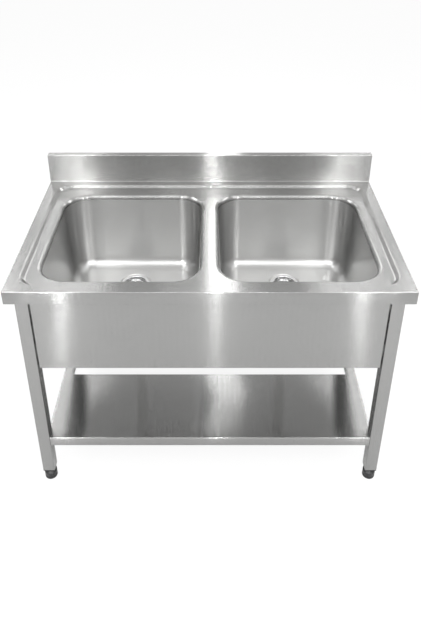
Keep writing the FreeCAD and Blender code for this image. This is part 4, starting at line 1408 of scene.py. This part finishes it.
# ---------------------------------------------------------------- frame
@dataclass
class Frame:
    """The four legs, the aprons between them and the rear rail."""

    leg_out: float = 576.0
    leg_in: float = 536.0
    leg_front: float = -326.0
    leg_back: float = 326.0
    leg_wall: float = 1.5
    leg_corner: float = 3.0
    leg_low: float = 46.5
    leg_high: float = 817.0
    apron_low: float = 517.0
    apron_high: float = 828.5
    apron_gap: float = 4.5
    apron_return: float = 15.0
    apron_flange: float = 25.0
    rail_low: float = 718.5
    rail_setback: float = 6.0
    flange_gap: float = 1.2
    sheet: float = 1.2
    fold: float = 2.0

    def build(self, shop: Workshop) -> None:
        """Makes the legs and the panels."""
        self.legs(shop)
        self.front_panel(shop)
        self.side_panels(shop)
        self.rail(shop)

    def legs(self, shop: Workshop) -> None:
        """Square tubes, open at both ends."""
        tubes = tube_tree()
        size = self.leg_out - self.leg_in
        middle_x = (self.leg_out + self.leg_in) / 2
        middle_y = self.leg_back - size / 2
        for corner, (side, end) in CORNERS.items():
            piece = link("leg_tube_" + corner, bpy.data.meshes.new("leg_tube_" + corner))
            tubes.apply(piece, {
                "Size": size * MM,
                "Wall": self.leg_wall * MM,
                "Corner": self.leg_corner * MM,
                "Low": self.leg_low * MM,
                "High": self.leg_high * MM,
                "Centre": (side * middle_x * MM, end * middle_y * MM, 0.0),
                "Material": shop.finishes.by_slot["brushed_tube"],
            })
            map_grain(piece, Grain.ALONG_Z)
            shop.hand_over(smooth(piece), "frame", "brushed_tube", "leg_" + corner)

    def front_panel(self, shop: Workshop) -> None:
        """The front apron with its lower return and end flanges."""
        half = self.leg_in - self.apron_gap
        height = self.apron_high - self.apron_low
        panel = Sheet()
        panel.plate((-half, self.leg_front, self.apron_low), (2 * half, 0, 0), (0, 0, height))
        panel.plate((-half, self.leg_front + self.apron_return, self.apron_low), (2 * half, 0, 0),
                    (0, -self.apron_return, 0))
        for side in SIDES.values():
            start = self.leg_front if side > 0 else self.leg_front + self.apron_flange
            step = self.apron_flange * side
            rise = (0, 0, self.leg_high - self.flange_gap - self.apron_low)
            panel.plate((side * half, start, self.apron_low), (0, step, 0), rise)
        piece = panel.to_object("apron_front_panel", (0, -1, 0), self.sheet, self.fold, Grain.ALONG_X)
        shop.hand_over(piece, "frame", "brushed_sheet", "front_apron")

    def side_panels(self, shop: Workshop) -> None:
        """The side aprons with their lower returns and end flanges."""
        half = self.leg_back - (self.leg_out - self.leg_in)
        height = self.apron_high - self.apron_low
        flange_height = self.leg_high - self.flange_gap - self.apron_low
        for label, side in SIDES.items():
            x = side * self.leg_out
            inward = -side * self.apron_return
            panel = Sheet()
            panel.plate((x, -side * half, self.apron_low), (0, 2 * side * half, 0), (0, 0, height))
            panel.plate((x, -side * half, self.apron_low), (inward, 0, 0), (0, 2 * side * half, 0))
            for end in (-1, 1):
                flange = -side * self.apron_flange
                start = x if end * side > 0 else x + flange
                run = flange if end * side > 0 else -flange
                panel.plate((start, end * half, self.apron_low), (run, 0, 0), (0, 0, flange_height))
            name = "apron_side_panel_" + label
            piece = panel.to_object(name, (side, 0, 0), self.sheet, self.fold, Grain.ALONG_Y)
            shop.hand_over(piece, "frame", "brushed_sheet", "side_apron_" + label)

    def rail(self, shop: Workshop) -> None:
        """The rail between the rear legs."""
        rear = self.leg_back - self.rail_setback
        height = self.apron_high - self.rail_low
        panel = Sheet()
        panel.plate((self.leg_in, rear, self.rail_low), (-2 * self.leg_in, 0, 0), (0, 0, height))
        panel.plate((self.leg_in, rear, self.rail_low), (0, -self.apron_return, 0), (-2 * self.leg_in, 0, 0))
        for side in SIDES.values():
            start = rear if side < 0 else rear - self.apron_flange
            panel.plate((side * self.leg_in, start, self.rail_low), (0, side * self.apron_flange, 0),
                        (0, 0, self.leg_high - self.flange_gap - self.rail_low))
        piece = panel.to_object("rail_rear_panel", (0, 1, 0), self.sheet, self.fold, Grain.ALONG_X)
        shop.hand_over(piece, "frame", "brushed_sheet", "rear_rail")


# ---------------------------------------------------------------- shelf
@dataclass
class Shelf:
    """The folded shelf: cut-outs round the legs, lips with returns, and a hemmed slot across it."""

    side: float = 545.0
    end: float = 326.0
    notch_x: float = 535.6
    notch_y: float = 285.6
    top: float = 206.0
    low: float = 169.5
    fold_back: float = 12.0
    slot_front: float = -34.0
    slot_rear: float = 11.0
    slot_end: float = 509.0
    hem: float = 12.0
    sheet: float = 1.2
    fold: float = 2.0

    def build(self, shop: Workshop) -> None:
        """Makes the shelf as one sheet."""
        pan = Sheet()
        xs = (-self.side, -self.notch_x, -self.slot_end, self.slot_end, self.notch_x, self.side)
        ys = (-self.end, -self.notch_y, self.slot_front, self.slot_rear, self.notch_y, self.end)
        for column, (x0, x1) in enumerate(zip(xs, xs[1:])):
            for row, (y0, y1) in enumerate(zip(ys, ys[1:])):
                in_notch = column in (0, 4) and row in (0, 4)
                in_slot = column == 2 and row == 2
                if not in_notch and not in_slot:
                    pan.plate((x0, y0, self.top), (x1 - x0, 0, 0), (0, y1 - y0, 0))
        drop = self.low - self.top
        for side in (-1, 1):
            for y0, y1 in zip(ys[1:-1], ys[2:-1]):
                pan.plate((side * self.side, y0, self.top), (0, y1 - y0, 0), (0, 0, drop))
                pan.plate((side * self.side, y0, self.low), (0, y1 - y0, 0), (-side * self.fold_back, 0, 0))
            for x0, x1 in zip(xs[1:-1], xs[2:-1]):
                pan.plate((x0, side * self.end, self.top), (x1 - x0, 0, 0), (0, 0, drop))
                pan.plate((x0, side * self.end, self.low), (x1 - x0, 0, 0), (0, -side * self.fold_back, 0))
            slot_depth = self.slot_rear - self.slot_front
            corner = (side * self.slot_end, self.slot_front, self.top)
            pan.plate(corner, (0, slot_depth, 0), (0, 0, -self.hem))
        for y in (self.slot_front, self.slot_rear):
            pan.plate((-self.slot_end, y, self.top), (2 * self.slot_end, 0, 0), (0, 0, -self.hem))
        piece = pan.to_object("shelf_pan", (0, 0, 1), self.sheet, self.fold, Grain.ALONG_X)
        shop.hand_over(piece, "frame", "brushed_sheet", "shelf")


# ---------------------------------------------------------------- fasteners
@dataclass
class Fasteners:
    """Screws with recessed pan heads and hexagon nuts, one group for the aprons and one for the shelf."""

    shank: float = 3.0
    head_radius: float = 5.5
    head_height: float = 3.3
    recess: float = 2.0
    nut_flat: float = 5.0
    nut_height: float = 4.5
    steps: int = 36
    bracket_sheet: float = 3.0
    apron_rows: tuple[float, float] = (70.0, 240.0)
    rail_row: float = 55.0
    bracket_middle: float = 14.5
    stagger: float = 4.0

    def hexagon_nut(self, work: bmesh.types.BMesh, low: float, high: float) -> None:
        """Adds a chamfered hexagon nut about the Z axis between two heights."""
        corner = self.nut_flat / math.cos(math.pi / 6) * 0.92
        bore = self.shank + 0.05
        levels = (
            (bore, low, False), (corner - 0.4, low, True), (corner, low + 0.4, True),
            (corner, high - 0.4, True), (corner - 0.4, high, True), (bore, high, False),
        )
        rings = []
        for radius, height, hexagonal in levels:
            points = round_ring(
                (0.0, 0.0), height, self.steps,
                lambda step, turn: hexagon_reach(radius, turn) if hexagonal else radius,
            )
            rings.append([work.verts.new(point) for point in points])
        faces = []
        for first, second in zip(rings, rings[1:] + rings[:1]):
            for step in range(self.steps):
                after = (step + 1) % self.steps
                faces.append(work.faces.new((first[step], first[after], second[after], second[step])))
        bmesh.ops.recalc_face_normals(work, faces=faces)

    def pattern(self, head: Profile, grip: float, reach: float) -> bpy.types.Object:
        """A screw or stud with its nut, along +Z from the seat at the origin.

        Args:
            head: (radius, height) points of the head from its middle to the shank.
            grip: from the seat to the nut, in millimetres.
            reach: from the seat to the end of the shank.

        Returns:
            A mesh object of two closed bodies.
        """
        thread = [(self.shank, reach - 0.6), (self.shank - 0.6, reach), (0.0, reach)]
        made = lathe("fastener", [*head, *thread], (0.0, 0.0), self.steps)
        with editing(made.data) as work:
            self.hexagon_nut(work, grip, grip + self.nut_height)
        return made

    def screw(self, grip: float) -> bpy.types.Object:
        """A pan head screw with a round recess in its head, and its nut."""
        crown = -self.head_height
        head = [
            (0.0, crown + 1.4),
            (self.recess, crown + 1.4),
            (self.recess, crown + 0.05),
            (self.head_radius * 0.6, crown + 0.15),
            (self.head_radius * 0.88, crown + 0.9),
            (self.head_radius, -0.8),
            (self.head_radius, 0.0),
            (self.shank, 0.0),
        ]
        return self.pattern(head, grip, grip + self.nut_height + 2 * self.shank)

    def stud(self, grip: float) -> bpy.types.Object:
        """A stud welded to the sheet above it, and its nut."""
        return self.pattern([(0.0, 0.0), (self.shank, 0.0)], grip, grip + self.nut_height + 2.0)

    def group(self, shop: Workshop, name: str, node: str, sets: Sequence[tuple[bpy.types.Object, Seats]],
              tree: Tree) -> None:
        """Sets one group of fasteners and hands it over as one piece.

        Args:
            shop: where finished pieces go.
            name: the piece's name.
            node: the CAD node that it stands for.
            sets: each pattern with the seats and directions of its copies.
            tree: the tree that copies a pattern to its places.
        """
        parts = []
        for pattern, seats in sets:
            mesh = bpy.data.meshes.new(name)
            mesh.from_pydata([Vector(seat) * MM for seat, _ in seats], [], [])
            carried = mesh.attributes.new("direction", "FLOAT_VECTOR", "POINT")
            carried.data.foreach_set("vector", [value for _, way in seats for value in way])
            part = link(name, mesh)
            tree.apply(part, {"Fastener": pattern, "Material": shop.finishes.by_slot["fasteners"]})
            bpy.data.objects.remove(pattern)
            parts.append(part)
        joined, *others = parts
        with editing(joined.data) as work:
            for part in others:
                work.from_mesh(part.data)
        for part in others:
            bpy.data.objects.remove(part)
        map_grain(joined, Grain.ALONG_Z)
        shop.hand_over(smooth(joined), "frame", "fasteners", node)

    def build(self, shop: Workshop, frame: Frame, shelf: Shelf) -> None:
        """Makes the apron screws and the shelf's bracket screws and studs."""
        tree = fastener_tree()
        heights = tuple(frame.apron_low + row for row in self.apron_rows)
        leg = frame.leg_out - frame.leg_in
        leg_y = frame.leg_back - leg / 2
        front: Seats = []
        flank: Seats = []
        rail: Seats = []
        bracket: Seats = []
        stud: Seats = []
        for side, end in CORNERS.values():
            for height in heights:
                y = end * (leg_y - leg / 2 - frame.sheet)
                flank.append(((side * (frame.leg_in + leg / 2 + self.stagger), y, height), (0, end, 0)))
                if end < 0:
                    x = side * (frame.leg_in - frame.apron_gap - frame.sheet)
                    front.append(((x, frame.leg_front + leg / 2 - self.stagger, height), (side, 0, 0)))
            if end > 0:
                height = frame.apron_high - self.rail_row
                rail.append(((side * (frame.leg_in - frame.sheet), leg_y, height), (side, 0, 0)))
            under = shelf.top - shelf.sheet
            seat_x = side * (frame.leg_in - self.bracket_sheet)
            bracket.append(((seat_x, end * leg_y, under - self.bracket_middle), (side, 0, 0)))
            stud.append(((side * (frame.leg_in - self.bracket_middle), end * leg_y, under), (0, 0, -1)))
        self.group(shop, "apron_bolts", "apron_screws", (
            (self.screw(frame.sheet + frame.apron_gap + frame.leg_wall), front),
            (self.screw(frame.sheet + frame.leg_wall), flank + rail),
        ), tree)
        self.group(shop, "shelf_bolts", "shelf_fasteners", (
            (self.screw(self.bracket_sheet + frame.leg_wall), bracket),
            (self.stud(self.bracket_sheet), stud),
        ), tree)


# ---------------------------------------------------------------- feet
@dataclass
class Foot:
    """The screw foot of each leg: plug in the tube's end, threaded spindle with a hexagon, round base."""

    x: float = 556.0
    y: float = 306.0
    tube: float = 40.0
    tube_corner: float = 3.0
    tube_wall: float = 1.5
    leg_low: float = 46.5
    flange: float = 4.0
    plug: float = 28.0
    bore: float = 5.1
    base_radius: float = 21.0
    base_height: float = 34.0
    groove_low: float = 10.0
    groove_width: float = 2.0
    groove_depth: float = 1.6
    shoulder_radius: float = 13.0
    shoulder_height: float = 6.0
    thread_radius: float = 5.0
    thread_pitch: float = 1.5
    thread_depth: float = 0.8
    engaged: float = 34.0
    socket: float = 12.0
    run_out: float = 2.0
    run_in: float = 1.5
    thread_chamfer: float = 0.8
    hexagon: float = 9.0
    hex_bevel: float = 0.6
    hex_steps: int = 36

    def build(self, shop: Workshop) -> None:
        """Makes all four feet."""
        for corner, (side, end) in CORNERS.items():
            centre = (side * self.x, end * self.y)
            self.insert(shop, corner, centre)
            self.base(shop, corner, centre)
            self.spindle(shop, corner, centre)

    def insert(self, shop: Workshop, corner: str, centre: Point) -> None:
        """The square plug with its flange under the tube's edge."""
        half = self.tube / 2
        inner = half - self.tube_wall - 0.3
        low = self.leg_low - self.flange
        levels = (
            (half - 0.8, low), (half, low + 0.8), (half, self.leg_low), (inner, self.leg_low),
            (inner - 0.3, self.leg_low + self.plug - 1.0), (inner - 1.2, self.leg_low + self.plug),
        )
        rings = []
        for reach, height in levels:
            radius = max(self.tube_corner - (half - reach), 1.2)
            outline = Outline(centre[0] - reach, centre[0] + reach, centre[1] - reach, centre[1] + reach,
                              (radius,) * 4, 6, 4)
            rings.append(outline.ring(height))
        like = Outline(0.0, 1.0, 0.0, 1.0, (0.0,) * 4, 6, 4)
        hole_high = circle(centre, self.bore, like).ring(self.leg_low + self.plug)
        hole_low = circle(centre, self.bore, like).ring(low)
        surface = Surface()
        surface.bands([hole_low, *rings, hole_high, hole_low], closed=True)
        piece = smooth(face_outward(surface.to_object("foot_plug_" + corner)))
        shop.hand_over(piece, "frame", "foot_plastic", "foot_insert_" + corner)

    def base(self, shop: Workshop, corner: str, centre: Point) -> None:
        """The round base with its groove and shoulder."""
        waist = self.base_radius - self.groove_depth
        profile = [
            (0.0, 0.0),
            (self.base_radius - 2.0, 0.0),
            (self.base_radius, 2.0),
            (self.base_radius, self.groove_low),
            (waist, self.groove_low),
            (waist, self.groove_low + self.groove_width),
            (self.base_radius, self.groove_low + self.groove_width),
            (self.base_radius, self.base_height - self.shoulder_height),
            (self.shoulder_radius, self.base_height),
            (self.thread_radius, self.base_height),
            (self.thread_radius, self.base_height - self.socket),
            (0.0, self.base_height - self.socket),
        ]
        piece = lathe("foot_pad_" + corner, rounded(profile, 0.9, 4, sharp=(0, 9, 10, 11)), centre, 56)
        shop.hand_over(piece, "foot_" + corner, "foot_plastic", "foot_base_" + corner)

    def spindle(self, shop: Workshop, corner: str, centre: Point) -> None:
        """The stud with its real thread, and the hexagon that a spanner turns."""
        low = self.base_height - self.socket
        high = self.leg_low - self.flange + self.engaged
        hex_high = self.leg_low - self.flange - 0.3
        turns, steps = 6, 20
        rows = int((high - low) / self.thread_pitch * turns)
        surface = Surface()
        rings: list[Ring] = []
        for row in range(rows + 1):
            height = low + (high - low) * row / rows
            fade = min(1.0, (high - height) / self.run_out, max(0.0, (height - hex_high) / self.run_in))
            tip = self.thread_chamfer if row == rows else 0.0

            def reach(step: int, turn: float) -> float:
                """The thread's radius, which falls to its root and back once in a pitch."""
                phase = (height / self.thread_pitch - step / steps) % 1.0
                groove = self.thread_depth * abs(2 * phase - 1) * fade
                return self.thread_radius - groove - tip

            rings.append(round_ring(centre, height, steps, reach))
        ends = [[Vector((centre[0], centre[1], height)) * MM] * steps for height in (low, high)]
        surface.bands([ends[0], *rings, ends[1]], closed=True)
        bevel = self.hex_bevel
        levels = (
            (0.0, self.base_height), (self.hexagon - 0.7, self.base_height),
            (self.hexagon, self.base_height + bevel), (self.hexagon, hex_high - bevel),
            (self.hexagon - 0.7, hex_high), (0.0, hex_high),
        )
        hex_rings = [
            round_ring(
                centre, height, self.hex_steps,
                lambda step, turn, radius=radius: hexagon_reach(radius, turn),
            )
            for radius, height in levels
        ]
        surface.bands(hex_rings, closed=True)
        piece = smooth(face_outward(surface.to_object("foot_screw_" + corner)))
        shop.hand_over(piece, "foot_" + corner, "fasteners", "foot_spindle_" + corner)


# ---------------------------------------------------------------- carried-over nodes
def dress_carried(nodes: dict[str, bpy.types.Object], record: dict, finishes: Finishes) -> None:
    """Gives every CAD node that still shows its slot's material.

    Args:
        nodes: the frame's node objects by name.
        record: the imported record, whose sub-parts name their slots.
        finishes: the unit's materials.
    """
    slots = {part["node"]: part["material_slot"] for part in record["subparts"]}
    for name, node in nodes.items():
        if node.hide_render:
            continue
        map_grain(node, Grain.ALONG_Y if name.startswith(("side_", "centre_")) else Grain.ALONG_X)
        finishes.dress(node, slots[name])
        log.info("%s keeps its CAD shape, in %s", name, slots[name])


# ---------------------------------------------------------------- studio
@dataclass(frozen=True)
class SoftBox:
    """A square lamp round the unit, in front of it at azimuth 0 and behind it at 180 degrees."""

    name: str
    azimuth: float
    elevation: float
    size: float
    power: float
    paired: bool = True


@dataclass(frozen=True)
class StripLight:
    """An upright strip before or behind the unit, which draws a band down the brushed steel."""

    name: str
    x: float
    low: float
    high: float
    power: float
    width: float = 0.06
    y: float = -2.6


SOFT_BOXES = (
    SoftBox("front", 0, 50, 1.0, 9.0, paired=False),
    SoftBox("front_pair", 18, 50, 1.0, 11.0),
    SoftBox("flank_pair", 36, 42, 1.3, 22.0),
    SoftBox("side_pair", 90, 68, 0.8, 8.0),
    SoftBox("rear_side_pair", 120, 50, 1.0, 28.0),
    SoftBox("rear_pair", 156, 38, 0.6, 5.0),
    SoftBox("rear_high", 180, 68, 0.8, 4.0, paired=False),
)
STRIP_LIGHTS = (
    StripLight("left_low", -0.75, 0.02, 0.3, 0.65, width=0.05, y=-1.6),
    StripLight("left_middle", -0.98, 0.8, 1.7, 0.5),
    StripLight("left_high", -1.08, 1.7, 3.0, 12.0),
    StripLight("left_second", -1.2, 0.9, 2.8, 4.0, width=0.05),
    StripLight("middle_low", 0.03, 0.02, 0.3, 0.45, width=0.05, y=-1.6),
    StripLight("middle_high", 0.045, 1.7, 3.0, 16.0),
    StripLight("right_low", 0.76, 0.02, 0.3, 0.5, width=0.05, y=-1.6),
    StripLight("right_middle", 0.98, 0.8, 1.7, 0.5),
    StripLight("right_high", 1.08, 1.7, 3.0, 10.0),
    StripLight("right_second", 1.2, 0.9, 2.8, 3.0, width=0.05),
    StripLight("rear", 0.1, 1.6, 4.2, 9.0, width=0.25, y=2.6),
)


@dataclass
class Studio:
    """A white floor, soft lamps, a bright surround with a dimmer ceiling, and the camera."""

    camera_y: float = -1.8605
    camera_z: float = 1.9974
    camera_tilt: float = 61.97
    lens: float = 37.48
    shift_x: float = 0.001
    shift_y: float = -0.2138
    floor_half: float = 30.0
    floor_share: float = 0.14
    mirrored_share: float = 0.7
    floor_light: float = 0.9
    front_light: float = 1.4
    surround: float = 0.65
    ceiling: float = 0.72
    box_distance: float = 3.5
    box_height: float = 0.8
    strip_aim: float = 0.45

    def build(self, feet: list[bpy.types.Object]) -> None:
        """Makes everything that isn't the unit.

        Args:
            feet: the bodies that stand on the floor.
        """
        self.floor(feet)
        self.world()
        self.lamps()
        self.camera()
        bpy.context.scene.view_settings.view_transform = "Standard"

    def floor(self, feet: list[bpy.types.Object]) -> None:
        """A large pale floor that keeps a soft shadow, shows white, and stays under the lowest foot."""
        reach = self.floor_half
        mesh = bpy.data.meshes.new("studio_floor")
        mesh.from_pydata([(-reach, -reach, 0), (reach, -reach, 0), (reach, reach, 0), (-reach, reach, 0)], [],
                         [(0, 1, 2, 3)])
        floor = link("studio_floor", mesh)
        made, shader, unused = new_material("studio floor")
        made.node_tree.nodes.remove(unused)
        path = shader.node("LightPath")
        mirrored = shader.math("MAXIMUM", path.outputs["Is Glossy Ray"], path.outputs["Is Transmission Ray"])
        plain = shader.node("BsdfDiffuse", Color=(0.8, 0.8, 0.8, 1.0))
        looks = []
        for share, light in ((self.floor_share, self.floor_light), (self.mirrored_share, self.front_light)):
            shaded = shader.node("BsdfDiffuse", Color=(share,) * 3 + (1.0,))
            white = shader.node("Emission", Color=(1.0, 1.0, 1.0, 1.0), Strength=1.0 - light * share)
            looks.append(shader.node("AddShader", {0: shaded.outputs[0], 1: white.outputs[0]}).outputs[0])
        steel = shader.node("MixShader", {0: mirrored, 1: plain.outputs[0], 2: looks[1]})
        both = shader.node("MixShader", {0: path.outputs["Is Camera Ray"], 1: steel.outputs[0], 2: looks[0]})
        shader.feed(made.node_tree.nodes["Material Output"], {0: both.outputs[0]})
        mesh.materials.append(made)
        for foot in feet:
            under = floor.constraints.new("FLOOR")
            under.target = foot
            under.floor_location = "FLOOR_NEGATIVE_Z"
            under.offset = -foot.matrix_world.translation.z

    def world(self) -> None:
        """White to the camera and, up to a dimmer ceiling, in the steel; softer as a light."""
        world = bpy.data.worlds.new("studio surround")
        bpy.context.scene.world = world
        world.use_nodes = True
        shader = Shader(world.node_tree)
        world.node_tree.nodes.clear()
        sky = shader.node("TexCoord")
        split = shader.node("SeparateXYZ", {0: sky.outputs["Generated"]})
        reflected = shader.spread(split.outputs[2], 0.2, 0.6, 1.0, self.ceiling)
        path = shader.node("LightPath")
        soft = shader.node("Background", Color=(1.0, 1.0, 1.0, 1.0), Strength=self.surround)
        studio = shader.node("Background", {"Strength": reflected}, Color=(1.0, 1.0, 1.0, 1.0))
        white = shader.node("Background", Color=(1.0, 1.0, 1.0, 1.0), Strength=1.0)
        glossy = path.outputs["Is Glossy Ray"]
        steel = shader.node("MixShader", {0: glossy, 1: soft.outputs[0], 2: studio.outputs[0]})
        seen = shader.math("MAXIMUM", path.outputs["Is Camera Ray"], path.outputs["Is Transmission Ray"])
        final = shader.node("MixShader", {0: seen, 1: steel.outputs[0], 2: white.outputs[0]})
        shader.node("OutputWorld", {0: final.outputs[0]})

    def lamp(self, name: str, place: Point, target: Point, size: tuple[float, float], power: float) -> None:
        """Adds one rectangular lamp that faces a point."""
        data = bpy.data.lights.new(name, "AREA")
        data.shape = "RECTANGLE"
        data.size, data.size_y = size
        data.energy = power
        lamp = bpy.data.objects.new(name, data)
        bpy.context.scene.collection.objects.link(lamp)
        lamp.location = place
        lamp.rotation_euler = (Vector(target) - Vector(place)).to_track_quat("-Z", "Y").to_euler()
        lamp.visible_camera = False

    def lamps(self) -> None:
        """Hangs the soft boxes round the unit and stands the strips before and behind it."""
        middle = Vector((0.0, 0.0, self.box_height))
        for box in SOFT_BOXES:
            turn, lift = math.radians(box.azimuth), math.radians(box.elevation)
            for side in SIDES.values() if box.paired else (1,):
                level = math.cos(lift)
                way = Vector((side * math.sin(turn) * level, -math.cos(turn) * level, math.sin(lift)))
                place = middle + way * self.box_distance
                self.lamp(f"box_{box.name}_{side}", place, middle, (box.size, box.size), box.power)
        for strip in STRIP_LIGHTS:
            height = (strip.low + strip.high) / 2
            target = (self.strip_aim * strip.x, 0.0, height)
            size = (strip.width, strip.high - strip.low)
            self.lamp(f"strip_{strip.name}", (strip.x, strip.y, height), target, size, strip.power)

    def camera(self) -> None:
        """The camera at the photograph's place, tilted down, with its frame shifted."""
        data = bpy.data.cameras.new("camera")
        data.sensor_fit = "AUTO"
        data.sensor_width = 36.0
        data.lens = self.lens
        data.shift_x, data.shift_y = self.shift_x, self.shift_y
        camera = bpy.data.objects.new("camera", data)
        bpy.context.scene.collection.objects.link(camera)
        camera.location = (0.0, self.camera_y, self.camera_z)
        camera.rotation_euler = (math.radians(self.camera_tilt), 0.0, 0.0)
        bpy.context.scene.camera = camera


def main() -> None:
    """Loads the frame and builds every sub-assembly around it."""
    logging.basicConfig(level=logging.INFO, format="%(name)s: %(message)s")
    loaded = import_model()
    Studio().build([loaded["bodies"]["foot_" + corner] for corner in CORNERS])
    shop = Workshop(Finishes())
    bowl, frame, shelf = Bowl(), Frame(), Shelf()
    Worktop().build(shop, bowl)
    bowl.build(shop)
    Waste().build(shop)
    frame.build(shop)
    shelf.build(shop)
    Fasteners().build(shop, frame, shelf)
    Foot().build(shop)
    dress_carried(loaded["nodes"], loaded["record"], shop.finishes)
    log.info("%d pieces made", shop.made)


if __name__ == "__main__":
    main()
